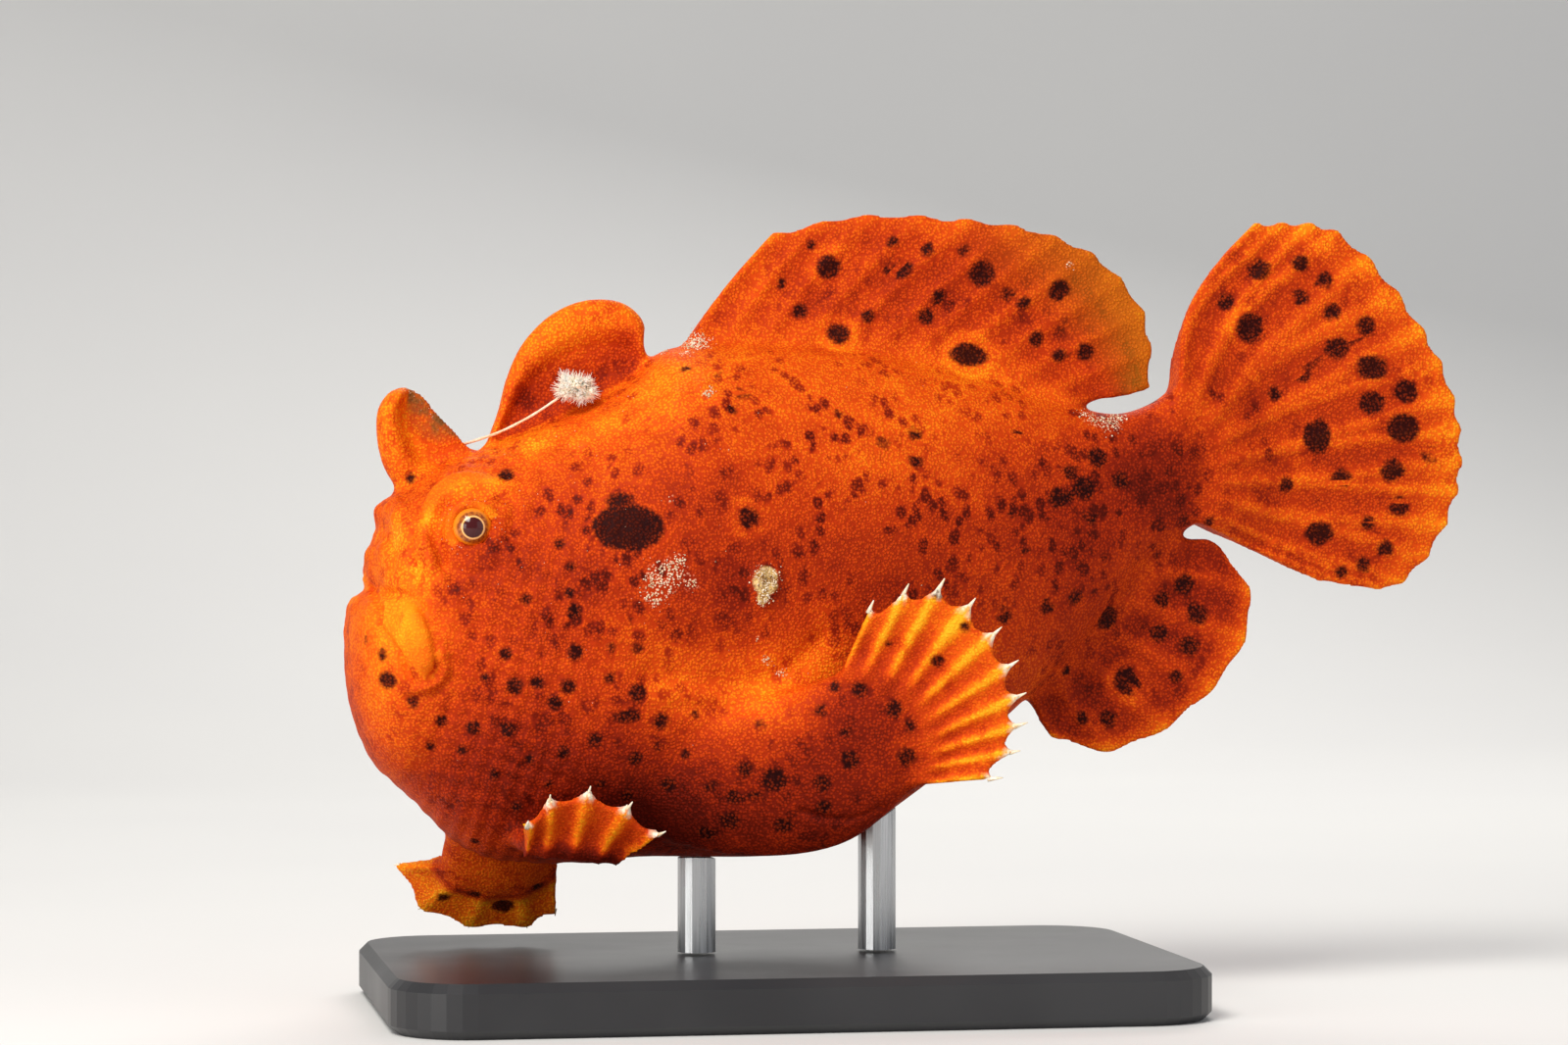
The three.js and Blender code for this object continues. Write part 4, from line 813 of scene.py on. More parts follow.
# Broad washes of painted light and shade mixed with the skin's own changes of tone: px, py, radius, change of tone
toneAndShadeWashes = [
    (437, 530, 12, 0.2), (470, 497, 12, 0.2), (505, 492, 14, 0.2), (545, 455, 16, 0.16), (590, 450, 14, 0.14),
    (620, 430, 20, 0.12), (430, 584, 18, 0.18), (404, 545, 18, 0.16), (420, 560, 60, 0.07), (400, 600, 40, 0.1),
    (412, 645, 34, 0.28), (372, 640, 40, 0.04), (530, 455, 60, 0.06), (560, 505, 40, -0.12), (500, 560, 36, -0.14),
    (465, 520, 50, 0.04), (480, 600, 60, -0.1), (560, 600, 80, -0.14), (600, 470, 60, -0.02), (700, 420, 60, 0.06),
    (690, 385, 40, 0.1), (760, 440, 60, -0.08), (850, 440, 80, 0.02), (480, 780, 70, -0.14), (520, 730, 60, -0.06),
    (530, 402, 13, -0.4), (640, 345, 12, -0.35), (590, 350, 18, 0.1), (1010, 440, 60, -0.08),
    (700, 500, 60, -0.16), (740, 600, 70, -0.18),
    (830, 560, 80, -0.16), (960, 560, 90, -0.14), (1060, 560, 80, -0.16), (1000, 430, 70, 0.08), (1120, 500, 70, -0.22),
    (1190, 480, 60, -0.3), (740, 708, 70, 0.16), (780, 712, 40, 0.14), (830, 690, 40, 0.16), (855, 660, 30, 0.14),
    (880, 740, 60, -0.26), (820, 770, 70, 0.0), (700, 830, 110, -0.24), (560, 830, 90, -0.2), (640, 860, 80, -0.25),
    (850, 850, 80, -0.2), (400, 740, 50, 0.12), (440, 790, 50, -0.05), (640, 650, 60, -0.04), (680, 660, 40, 0.06),
    (1100, 640, 60, -0.12), (900, 620, 60, -0.12), (690, 706, 30, 0.12), (960, 650, 50, 0.12), (1010, 720, 40, -0.04)]


def spotRadius(centre, px):
    depth = (centre - eyePoint()) @ viewAxes()[0]
    return px * depth / focalPixels()


def spotEllipse(spot):
    return spot[2], (spot[3] if len(spot) > 3 else spot[2])


def awayFrom(points, centre, rx, rz):
    ahead, across = viewAxes()
    gap = points - centre
    wide, tall, deep = gap @ across, gap[:, 2], gap @ ahead
    mean = math.sqrt(rx * rz)
    return np.sqrt((wide / rx) ** 2 + (tall / rz) ** 2 + (deep / mean) ** 2) * mean


def markings(points, mesh):
    surface = Surface(points, mesh)
    draw = np.random.default_rng(12)
    edge = np.full(len(points), 6.0)
    soft = np.zeros(len(points))
    halo = np.zeros(len(points))
    pale = np.zeros(len(points))
    toneAndShade = np.zeros(len(points))

    def both(spot, thin):
        centre = surface.at(spot[0], spot[1])
        if centre is None:
            return []
        shift = np.zeros(3) if thin else draw.normal(0, 0.9, 3) * [1, 0, 1]
        return [centre, centre * [1, -1, 1] + shift]

    for group, thin in ((bodySpots, False), (finSpots, True)):
        for spot in group:
            for centre in both(spot, thin):
                rx, rz = (spotRadius(centre, r) for r in spotEllipse(spot))
                edge = np.minimum(edge, awayFrom(points, centre, rx, rz) - math.sqrt(rx * rz))
    for spot in softSpots:
        for centre in both(spot, False):
            rx, rz = (spotRadius(centre, r) for r in spotEllipse(spot))
            soft = np.maximum(soft, np.exp(-(awayFrom(points, centre, rx, rz) / math.sqrt(rx * rz)) ** 2))
    for spot in haloSpots:
        for centre in both(spot, True):
            ring = spotRadius(centre, spot[2]) + 0.75
            halo = np.maximum(halo, np.exp(-((distanceTo(points, [centre]) - ring) / 0.45) ** 2))
    for spot in palePatches:
        for centre in both(spot, False):
            pale = np.maximum(pale, np.exp(-(distanceTo(points, [centre]) / spotRadius(centre, spot[2])) ** 2))
    # Washes of painted light and shade, with some of the skin's own changes of tone
    for px, py, radius, change in toneAndShadeWashes:
        centre = surface.at(px, py)
        if centre is None:
            continue
        for side in (1, -1):
            away = distanceTo(points, [centre * [1, side, 1]])
            toneAndShade += change * np.exp(-(away / spotRadius(centre, radius)) ** 2)
    wart = np.zeros(len(points))
    for spot in warts:
        for centre in both(spot, False):
            wart = np.maximum(wart, np.exp(-(distanceTo(points, [centre]) / spotRadius(centre, spot[2])) ** 4))
    return edge, soft, halo, pale, toneAndShade, wart


# Tone of each fin: between the rays, added on a ray, at the rim and towards the root
finTones = {"dorsal": (0.52, 0.1, 0.15, 0.06), "anal": (0.44, 0.16, 0.32, -0.06), "caudal": (0.64, 0.2, 0.14, -0.14),
            "pectoral": (0.84, 0.42, 0.0, -0.2), "pelvic": (0.86, 0.4, 0.0, -0.1), "pelvicFar": (0.86, 0.16, 0.0, 0.0)}
# Body tones: the lighter back and head and the darker belly are painted light and shade, as are the darker horn web,
# the lighter hump rim and the lighter far leg
bodyTones = {"middle": 0.56, "back": 0.13, "belly": 0.12, "head": 0.04, "dorsalFront": 0.15, "horn": 0.78,
             "hornWebShade": 0.1, "hornTip": 0.06, "hump": 0.45, "humpRimHighlight": 0.34, "humpFoot": 0.18, "humpToneAndShade": 0.7,
             "finToneAndShade": 0.4, "trim": 0.76, "legFar": 0.22, "leg": 0.1}


def toneOf(points, toneAndShade):
    tones = bodyTones
    region, crest, share = labels.T
    x, z = points[:, 0], points[:, 2]
    # Painted light and shade: the back and the head are lighter and the belly darker, as if lit from above and the
    # upper left
    tone = tones["middle"] + tones["back"] * smoothstep(20, 75, z) - tones["belly"] * smoothstep(34, 16, z) + toneAndShade
    tone = tone + tones["head"] * smoothstep(-20, -40, x)
    for name, (base, ridge, rim, root) in finTones.items():
        own = region == regionOf[name]
        blend = smoothstep(0.0, 0.3, share)
        value = base + ridge * (crest - 0.45) + rim * smoothstep(0.8, 1.0, share) + root * (1 - share)
        tone = np.where(own, tone * (1 - blend) + (value + tones["finToneAndShade"] * toneAndShade) * blend, tone)
    front = np.exp(-((x + 4) / 7.0) ** 2) * (region == regionOf["dorsal"])
    tone += tones["dorsalFront"] * front * smoothstep(0.1, 0.7, share)
    # Painted shade darkens the horn's web behind the spine, and a painted highlight lightens the hump's rolled rim
    hornTone = tones["horn"] - tones["hornWebShade"] * smoothstep(0.4, 0.8, crest) \
        + tones["hornTip"] * smoothstep(0.5, 1.0, share)
    tone = np.where(region == regionOf["horn"], hornTone, tone)
    humpTone = tones["hump"] + tones["humpRimHighlight"] * smoothstep(0.45, 0.85, crest) \
        + tones["humpFoot"] * smoothstep(0.3, 0.0, share) + tones["humpToneAndShade"] * toneAndShade
    tone = np.where(region == regionOf["hump"], humpTone, tone)
    tone = np.where(region == regionOf["trim"], np.maximum(tone, tones["trim"]), tone)
    # Painted light: the far leg is lightened to offset the body's shadow over it
    tone = tone + np.where(region == regionOf["legFar"], tones["legFar"], 0.0) \
        + np.where(region == regionOf["leg"], tones["leg"], 0.0)
    return np.clip(tone, 0, 1)


# Where dark flecks gather: x, z, half length, half height, amount
netForm = {"body": 0.35, "fins": 0.25,
           "patches": [(8, 55, 22, 14, 0.5), (38, 58, 12, 10, 0.5), (-24, 48, 9, 10, 0.3), (-25, 50, 10, 12, 0.4),
                       (2, 66, 14, 8, 0.5)]}


def net(points):
    x, z = points[:, 0], points[:, 2]
    body = (labels[:, 0] == 0) | (labels[:, 0] == regionOf["arm"])
    amount = netForm["body"]
    for atX, atZ, long, tall, much in netForm["patches"]:
        amount = amount + much * np.exp(-((x - atX) / long) ** 2 - ((z - atZ) / tall) ** 2)
    return np.where(body, np.clip(amount, 0, 1), netForm["fins"])


def addAttribute(mesh, name, values):
    layer = mesh.attributes.new(name, "FLOAT", "POINT")
    layer.data.foreach_set("value", np.asarray(values, dtype=np.float32))


edge, soft, halo, pale, toneAndShade, wart = markings(skinPoints, skinMesh)
tone = toneOf(skinPoints, toneAndShade)
clawed = np.isin(labels[:, 0], [regionOf["pectoral"], regionOf["pelvic"]])
cream = np.where(clawed, smoothstep(0.93, 1.0, labels[:, 2]) * smoothstep(0.35, 0.7, labels[:, 1]), 0.0)
olive = np.where(labels[:, 0] == regionOf["dorsal"], smoothstep(18, 44, skinPoints[:, 0])
                 * smoothstep(0.45, 0.95, labels[:, 2]), 0.0)
grain = np.where(labels[:, 0] == regionOf["trim"], 0.25, np.where(clawed, 0.4, 1.0))
grain *= 1 - 0.7 * np.exp(-((skinPoints[:, 0] + 43) / 4.5) ** 2 - ((skinPoints[:, 2] - 43) / 5.5) ** 2)
hornLimit = 1.02 - 0.5 * smoothstep(0.1, 0.7, labels[:, 2])
dry = np.where(labels[:, 0] == regionOf["horn"], smoothstep(0.0, 0.12, labels[:, 1] - hornLimit), 0.0)
for name, values in (("tone", tone), ("spotEdge", edge), ("soft", soft), ("halo", halo), ("pale", pale),
                     ("cream", cream), ("olive", olive), ("dry", dry), ("wart", wart),
                     ("net", net(skinPoints)), ("grain", grain)):
    addAttribute(skinMesh, name, values)
setPoints(skinMesh, skinPoints * metres)
print("markings laid")


# Short ways to add nodes and link them
class Tree:
    def __init__(self, tree):
        self.tree = tree

    def add(self, kind, inputs=None, **settings):
        node = self.tree.nodes.new(kind)
        for key, value in settings.items():
            setattr(node, key, value)
        for key, value in (inputs or {}).items():
            self.put(node.inputs[key], value)
        return node

    def put(self, socket, value):
        if isinstance(value, bpy.types.NodeSocket):
            self.tree.links.new(value, socket)
        elif isinstance(value, bpy.types.Node):
            self.tree.links.new(value.outputs[0], socket)
        else:
            socket.default_value = value

    def math(self, operation, a, b=0.0, clamp=False):
        return self.add("ShaderNodeMath", {0: a, 1: b}, operation=operation, use_clamp=clamp).outputs[0]

    def fade(self, value, low, high, toLow=0.0, toHigh=1.0):
        node = self.add("ShaderNodeMapRange", {0: value, 1: low, 2: high, 3: toLow, 4: toHigh},
                        interpolation_type="SMOOTHSTEP")
        return node.outputs[0]

    def mix(self, factor, a, b, blend="MIX"):
        node = self.add("ShaderNodeMix", data_type="RGBA", blend_type=blend, clamp_factor=True)
        self.put(node.inputs[0], factor)
        self.put(node.inputs[6], a)
        self.put(node.inputs[7], b)
        return node.outputs[2]

    def noise(self, place, scale, detail=3.0, rough=0.5, warp=0.0):
        return self.add("ShaderNodeTexNoise", {"Vector": place, "Scale": scale, "Detail": detail,
                                               "Roughness": rough, "Distortion": warp})

    def cells(self, place, scale, feature="F1", random=1.0):
        return self.add("ShaderNodeTexVoronoi", {"Vector": place, "Scale": scale, "Randomness": random},
                        feature=feature)

    def read(self, name):
        return self.add("ShaderNodeAttribute", attribute_name=name).outputs["Fac"]

    def ramp(self, value, stops):
        node = self.add("ShaderNodeValToRGB", {0: value})
        elements = node.color_ramp.elements
        elements[0].position, elements[0].color = stops[0]
        elements[1].position, elements[1].color = stops[-1]
        for place, colour in stops[1:-1]:
            element = elements.new(place)
            element.color = colour
        return node.outputs[0]


def newMaterial(name):
    material = bpy.data.materials.new(name)
    material.use_nodes = True
    tree = material.node_tree
    tree.nodes.clear()
    nodes = Tree(tree)
    shader = nodes.add("ShaderNodeBsdfPrincipled")
    nodes.add("ShaderNodeOutputMaterial", {"Surface": shader.outputs[0]})
    place = nodes.add("ShaderNodeTexCoord").outputs["Object"]
    return material, nodes, shader, place


# Skin: the tone kept on the mesh, which holds painted light and shade as well as the skin's own tone, picks a colour
# from deep red to yellow
skinPaint = {
    "tones": [(0.0, (0.075, 0.004, 0.001, 1)), (0.22, (0.21, 0.011, 0.002, 1)), (0.42, (0.44, 0.030, 0.002, 1)),
              (0.58, (0.66, 0.065, 0.003, 1)), (0.75, (0.86, 0.150, 0.004, 1)), (0.9, (0.97, 0.29, 0.006, 1)),
              (1.0, (1.0, 0.43, 0.014, 1))],
    "spot": (0.014, 0.0010, 0.0010, 1), "granule": (0.62, 0.05, 0.003, 1), "pale": (0.85, 0.66, 0.46, 1),
    "wart": (0.40, 0.20, 0.05, 1), "wartLight": (0.80, 0.56, 0.24, 1),
    "cream": (0.95, 0.84, 0.66, 1), "olive": (0.36, 0.17, 0.006, 1), "dry": (0.20, 0.075, 0.018, 1),
    "broadScale": 90.0, "patchScale": 330.0, "fineScale": 1500.0, "granuleScale": 2900.0, "fleckScale": 620.0,
    "gatherScale": 150.0, "bendScale": 420.0, "bend": 0.0018, "broadSwing": 0.30, "patchSwing": 0.34,
    "roughness": 0.58, "gloss": 0.06, "glow": 0.08, "relief": 0.00017,
}


def skinMaterial():
    material, nodes, shader, place = newMaterial("paintedSkin")
    paint = skinPaint
    broad = nodes.noise(place, paint["broadScale"], 3.0, 0.55)
    patchy = nodes.noise(place, paint["patchScale"], 3.0, 0.6)
    fine = nodes.noise(place, paint["fineScale"], 2.0, 0.6)
    granules = nodes.cells(place, paint["granuleScale"], random=0.85)
    granule = nodes.fade(granules.outputs["Distance"], 0.62, 0.24)
    swing = lambda value, much: nodes.math("MULTIPLY", nodes.math("SUBTRACT", value, 0.5), much)
    tone = nodes.math("ADD", nodes.read("tone"), swing(broad, paint["broadSwing"]))
    tone = nodes.math("ADD", tone, swing(patchy, paint["patchSwing"]))
    tone = nodes.math("ADD", tone, nodes.math("MULTIPLY", nodes.read("halo"), 0.14))
    # dark flecks that gather into a net over the flank, and into the soft dark patches
    shift = nodes.add("ShaderNodeVectorMath", {0: nodes.noise(place, paint["bendScale"], 2.0).outputs["Color"],
                                               1: (paint["bend"],) * 3}, operation="MULTIPLY").outputs[0]
    bent = nodes.add("ShaderNodeVectorMath", {0: place, 1: shift}, operation="ADD").outputs[0]
    bent = nodes.add("ShaderNodeMapping", {"Vector": bent, "Scale": (1.0, 1.0, 0.72)}).outputs[0]
    flecks = nodes.fade(nodes.cells(bent, paint["fleckScale"]).outputs["Distance"], 0.52, 0.26)
    gathered = nodes.fade(nodes.noise(place, paint["gatherScale"], 2.0, 0.6), 0.42, 0.58)
    dark = nodes.math("MULTIPLY", nodes.math("MULTIPLY", flecks, gathered), nodes.read("net"))
    clotted = nodes.math("ADD", nodes.math("MULTIPLY", flecks, 0.75), 0.22)
    dark = nodes.math("MAXIMUM", dark, nodes.math("MULTIPLY", nodes.read("soft"), clotted), clamp=True)
    dim = nodes.math("ADD", nodes.math("MULTIPLY", nodes.read("grain"), 0.12), nodes.math("MULTIPLY", dark, 0.46))
    bright = nodes.ramp(nodes.math("SUBTRACT", nodes.math("ADD", tone, 0.06), nodes.math("MULTIPLY", dark, 0.2),
                                   clamp=True), paint["tones"])
    web = nodes.ramp(nodes.math("SUBTRACT", tone, dim, clamp=True), paint["tones"])
    shown = nodes.math("MULTIPLY", granule, nodes.math("SUBTRACT", 1.0, nodes.math("MULTIPLY", dark, 0.42)))
    base = nodes.mix(shown, web, bright)
    base = nodes.mix(nodes.math("MULTIPLY", nodes.read("olive"), 0.45), base, paint["olive"])
    # spots with a ragged edge, made of a dark net round pale granules
    ragged = nodes.math("ADD", swing(fine, 0.7), swing(patchy, 0.8))
    edge = nodes.math("ADD", nodes.read("spotEdge"), ragged)
    spot = nodes.fade(edge, 0.32, -0.34)
    core = nodes.fade(edge, 0.1, -1.3)
    left = nodes.math("MULTIPLY", granule, nodes.math("SUBTRACT", 0.36, nodes.math("MULTIPLY", core, 0.30)))
    inSpot = nodes.mix(left, paint["spot"], paint["granule"])
    colour = nodes.mix(nodes.math("MULTIPLY", spot, 0.97), base, inSpot)
    # white crust in grains, the wart, the dry web and the cream tips
    crust = nodes.math("ADD", nodes.read("pale"), swing(patchy, 0.8))
    crust = nodes.math("MULTIPLY", nodes.fade(crust, 0.35, 0.8), nodes.fade(granule, 0.55, 0.95))
    colour = nodes.mix(nodes.math("MULTIPLY", crust, 0.8), colour, paint["pale"])
    knob = nodes.fade(nodes.math("ADD", nodes.read("wart"), swing(patchy, 1.3)), 0.3, 0.75)
    knobTone = nodes.mix(nodes.fade(fine, 0.35, 0.65), paint["wart"], paint["wartLight"])
    colour = nodes.mix(knob, colour, knobTone)
    brittle = nodes.math("MULTIPLY", nodes.read("dry"), nodes.fade(patchy, 0.3, 0.55))
    colour = nodes.mix(brittle, colour, paint["dry"])
    colour = nodes.mix(nodes.read("cream"), colour, paint["cream"])
    nodes.put(shader.inputs["Base Color"], colour)
    rough = nodes.math("ADD", swing(patchy, 0.25), paint["roughness"])
    nodes.put(shader.inputs["Roughness"], nodes.math("ADD", rough, nodes.math("MULTIPLY", crust, 0.25)))
    shader.inputs["Subsurface Weight"].default_value = paint["glow"]
    shader.inputs["Subsurface Radius"].default_value = (1.0, 0.35, 0.1)
    shader.inputs["Subsurface Scale"].default_value = 0.0006
    shader.inputs["Specular IOR Level"].default_value = paint["gloss"]
    height = nodes.math("ADD", nodes.math("MULTIPLY", granule, 0.7), nodes.math("MULTIPLY", fine, 0.4))
    height = nodes.math("ADD", height, nodes.math("MULTIPLY", patchy, 1.4))
    height = nodes.math("ADD", height, nodes.math("MULTIPLY", crust, 1.2))
    bump = nodes.add("ShaderNodeBump", {"Strength": 0.6, "Distance": paint["relief"], "Height": height})
    nodes.put(shader.inputs["Normal"], bump.outputs[0])
    return material


def shaded(mesh):
    mesh.polygons.foreach_set("use_smooth", np.ones(len(mesh.polygons), dtype=bool))
    mesh.update()


def finish(name, mesh, material, nodesReplaced):
    mesh.name = name
    mesh.materials.clear()
    mesh.materials.append(material)
    shaded(mesh)
    piece = held(mesh, name)
    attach(piece, "root")
    if nodesReplaced:
        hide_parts(*nodesReplaced)


fleshNodes = ["head", "lower_jaw", "trunk", "tail_stalk", "dorsal_fin", "anal_fin", "caudal_fin",
              "second_dorsal_spine", "third_dorsal_spine", "left_pectoral_arm", "right_pectoral_arm",
              "left_pectoral_fin", "right_pectoral_fin", "left_pelvic_leg", "right_pelvic_leg",
              "left_pelvic_fin", "right_pelvic_fin"]
finish("fish_skin", skinMesh, skinMaterial(), fleshNodes)
print("skin finished")


# Eyes: radii of the pupil and its ring, in millimetres
eyeForm = {"pupil": 1.14, "ring": 1.27, "bulge": 0.12, "steps": 48, "rings": 32}
eyePaint = {"pupil": (0.055, 0.0022, 0.0035, 1), "ring": (0.98, 0.50, 0.16, 1), "iris": (0.24, 0.042, 0.006, 1),
            "irisLight": (0.50, 0.14, 0.012, 1), "lid": (0.80, 0.22, 0.008, 1)}


def eyeMesh(side):
    steps, rings, radius = eyeForm["steps"], eyeForm["rings"], headTrim["eyeRadius"] - 0.06
    centre = eyeCentre(side)
    points, faces = [centre + np.array([0, side * (radius + eyeForm["bulge"]), 0])], []
    for j in range(1, rings):
        angle = math.pi * j / rings
        wide = radius * math.sin(angle)
        deep = radius * math.cos(angle) + eyeForm["bulge"] * math.exp(-(wide / 1.5) ** 2) * (angle < math.pi / 2)
        for k in range(steps):
            turn = 2 * math.pi * k / steps
            points.append(centre + np.array([wide * math.cos(turn), side * deep, wide * math.sin(turn)]))
    points.append(centre - np.array([0, side * radius, 0]))
    for k in range(steps):
        faces.append((0, 1 + k, 1 + (k + 1) % steps))
        faces.append((len(points) - 1, len(points) - 1 - steps + (k + 1) % steps, len(points) - 1 - steps + k))
    faces += [tuple(1 + a for a in f) for f in
              [(a, d, c, b) for a, b, c, d in gridFaces(rings - 2, steps, closed=True)]]
    if side > 0:
        faces = [f[::-1] for f in faces]
    mesh = meshOf("eye", points, faces)
    points = np.array(points)
    addAttribute(mesh, "fromAxis", np.where((points[:, 1] - centre[1]) * side > 0, np.hypot(
        points[:, 0] - centre[0], points[:, 2] - centre[2]), 3.0))
    return mesh


def eyeMaterial():
    material, nodes, shader, place = newMaterial("eyeball")
    rough = nodes.noise(place, 2600.0, 3.0, 0.6)
    wander = nodes.math("MULTIPLY", nodes.math("SUBTRACT", rough, 0.5), 0.12)
    reach = nodes.math("ADD", nodes.read("fromAxis"), wander)
    iris = nodes.mix(nodes.fade(rough, 0.4, 0.65), eyePaint["iris"], eyePaint["irisLight"])
    colour = nodes.mix(nodes.fade(reach, 1.6, 1.9), iris, eyePaint["lid"])
    colour = nodes.mix(nodes.fade(reach, eyeForm["ring"] + 0.1, eyeForm["ring"] - 0.02), colour, eyePaint["ring"])
    colour = nodes.mix(nodes.fade(reach, eyeForm["pupil"] + 0.05, eyeForm["pupil"] - 0.05), colour, eyePaint["pupil"])
    nodes.put(shader.inputs["Base Color"], colour)
    nodes.put(shader.inputs["Roughness"], nodes.fade(rough, 0.3, 0.7, 0.1, 0.2))
    shader.inputs["Specular IOR Level"].default_value = 0.3
    shader.inputs["Coat Weight"].default_value = 0.3
    shader.inputs["Coat Roughness"].default_value = 0.04
    bump = nodes.add("ShaderNodeBump", {"Strength": 0.2, "Distance": 0.00004, "Height": rough.outputs[0]})
    nodes.put(shader.inputs["Normal"], bump.outputs[0])
    return material


eyePaintwork = eyeMaterial()
for sideName, side in (("left", -1), ("right", 1)):
    finish(f"eye_{sideName}", eyeMesh(side), eyePaintwork, [f"{sideName}_eye"])
print("eyes set")


# Lure: the rod laid back over the head, and a tuft of threads and beads in clumps
lure = {
    "path": [[-42.3, 57.4, 2.2], [-41.9, 60.0, 3.3], [-39.7, 62.3, 3.6], [-36.8, 63.8, 2.4],
             [-34.2, 64.7, 0.3], [-31.8, 65.6, -2.4], [-28.6, 67.3, -4.1], [-25.6, 69.3, -5.0]],
    "radius": 0.17, "tuftAt": (-23.4, -5.2, 70.4), "threads": 1500, "clumps": 11,
    "spread": (2.3, 1.2, 1.0), "core": 0.75, "length": 0.8, "thickness": 0.06, "beads": 420, "bead": 0.24, "tilt": 0.3,
}


def lureRodMesh():
    size = lambda t: lure["radius"] * (1.15 - 0.35 * t) * (1 + 0.08 * np.sin(60 * t))
    points, faces = tubePoints(points3(lure["path"]), 120, 12, size, size, (0, 0.3, 1))
    mesh = meshOf("lureRod", points, faces)
    addAttribute(mesh, "along", np.concatenate([np.repeat(np.linspace(0, 1, 121), 12), [0, 1]]))
    return mesh


# What the trees for threads and for grains share
def newTree(name, inputs):
    tree = bpy.data.node_groups.new(name, "GeometryNodeTree")
    face = tree.interface
    face.new_socket("Geometry", in_out="INPUT", socket_type="NodeSocketGeometry")
    for label, kind, value in inputs:
        face.new_socket(label, in_out="INPUT", socket_type=kind).default_value = value
    face.new_socket("Material", in_out="INPUT", socket_type="NodeSocketMaterial")
    face.new_socket("Geometry", in_out="OUTPUT", socket_type="NodeSocketGeometry")
    nodes = Tree(tree)
    return tree, nodes, nodes.add("NodeGroupInput").outputs


def scattered(nodes, given, shape, scale, **turned):
    points = nodes.add("GeometryNodeMeshToPoints", {"Mesh": given["Geometry"]})
    placed = nodes.add("GeometryNodeInstanceOnPoints", {"Points": points.outputs[0], "Instance": shape.outputs[0],
                                                        "Scale": scale.outputs[0], **turned})
    real = nodes.add("GeometryNodeRealizeInstances", {"Geometry": placed.outputs[0]})
    shade = nodes.add("GeometryNodeSetShadeSmooth", {"Geometry": real.outputs[0]})
    done = nodes.add("GeometryNodeSetMaterial", {"Geometry": shade.outputs[0], "Material": given["Material"]})
    nodes.add("NodeGroupOutput", {"Geometry": done.outputs[0]})


def varied(nodes, given):
    low = nodes.math("SUBTRACT", 1.0, given["Variation"])
    high = nodes.math("ADD", 1.0, given["Variation"])
    return nodes.add("FunctionNodeRandomValue", {2: low, 3: high, "Seed": given["Seed"]}, data_type="FLOAT").outputs[1]


def named(nodes, name, kind="FLOAT"):
    return nodes.add("GeometryNodeInputNamedAttribute", {"Name": name}, data_type=kind).outputs[0]


def filamentTree():
    tree, nodes, given = newTree("filaments", [
        ("Length", "NodeSocketFloat", 0.002), ("Thickness", "NodeSocketFloat", 0.0001),
        ("Variation", "NodeSocketFloat", 0.4), ("Sides", "NodeSocketInt", 5), ("Seed", "NodeSocketInt", 4)])
    cone = nodes.add("GeometryNodeMeshCone", {"Vertices": given["Sides"], "Radius Top": 0.2, "Radius Bottom": 1.0,
                                              "Depth": 1.0, "Side Segments": 3})
    turned = nodes.add("FunctionNodeAlignRotationToVector", {"Vector": named(nodes, "aim", "FLOAT_VECTOR")}, axis="Z")
    long = nodes.math("MULTIPLY", given["Length"], varied(nodes, given))
    scale = nodes.add("ShaderNodeCombineXYZ", {0: given["Thickness"], 1: given["Thickness"], 2: long})
    scale = nodes.add("ShaderNodeVectorMath", {0: scale.outputs[0], "Scale": named(nodes, "size")}, operation="SCALE")
    scattered(nodes, given, cone, scale, Rotation=turned.outputs[0])
    return tree


def grainTree():
    tree, nodes, given = newTree("grains", [
        ("Radius", "NodeSocketFloat", 0.00015), ("Variation", "NodeSocketFloat", 0.5), ("Seed", "NodeSocketInt", 9)])
    ball = nodes.add("GeometryNodeMeshIcoSphere", {"Radius": given["Radius"], "Subdivisions": 1})
    stretch = nodes.add("FunctionNodeRandomValue", {0: (0.6, 0.6, 0.6), 1: (1.4, 1.4, 1.4), "Seed": given["Seed"]},
                        data_type="FLOAT_VECTOR")
    total = nodes.math("MULTIPLY", named(nodes, "size"), varied(nodes, given))
    scale = nodes.add("ShaderNodeVectorMath", {0: stretch.outputs[0], "Scale": total}, operation="SCALE")
    scattered(nodes, given, ball, scale)
    return tree


def grown(name, tree, points, sizes, aims, **values):
    mesh = meshOf(name, points, [])
    addAttribute(mesh, "size", sizes)
    layer = mesh.attributes.new("aim", "FLOAT_VECTOR", "POINT")
    layer.data.foreach_set("vector", np.asarray(aims, dtype=np.float32).reshape(-1))
    holder = held(mesh, name)
    modifier = holder.modifiers.new("grown", "NODES")
    modifier.node_group = tree
    for item in tree.interface.items_tree:
        if item.in_out == "INPUT" and item.name in values:
            modifier[item.identifier] = values[item.name]
    return applied(holder)


def paleMaterial(name, first, second, scale, rough, glow, foot=None):
    material, nodes, shader, place = newMaterial(name)
    cloud = nodes.noise(place, scale, 3.0, 0.6)
    colour = nodes.mix(nodes.fade(cloud, 0.35, 0.65), first, second)
    if foot:
        colour = nodes.mix(nodes.fade(nodes.read("along"), 0.52, 0.34), colour, foot)
    nodes.put(shader.inputs["Base Color"], colour)
    nodes.put(shader.inputs["Roughness"], nodes.fade(cloud, 0.3, 0.7, rough - 0.1, rough + 0.1))
    shader.inputs["Subsurface Weight"].default_value = glow
    shader.inputs["Subsurface Radius"].default_value = (1.0, 0.7, 0.45)
    shader.inputs["Subsurface Scale"].default_value = 0.0006
    bump = nodes.add("ShaderNodeBump", {"Strength": 0.3, "Distance": 0.00006, "Height": cloud.outputs[0]})
    nodes.put(shader.inputs["Normal"], bump.outputs[0])
    return material


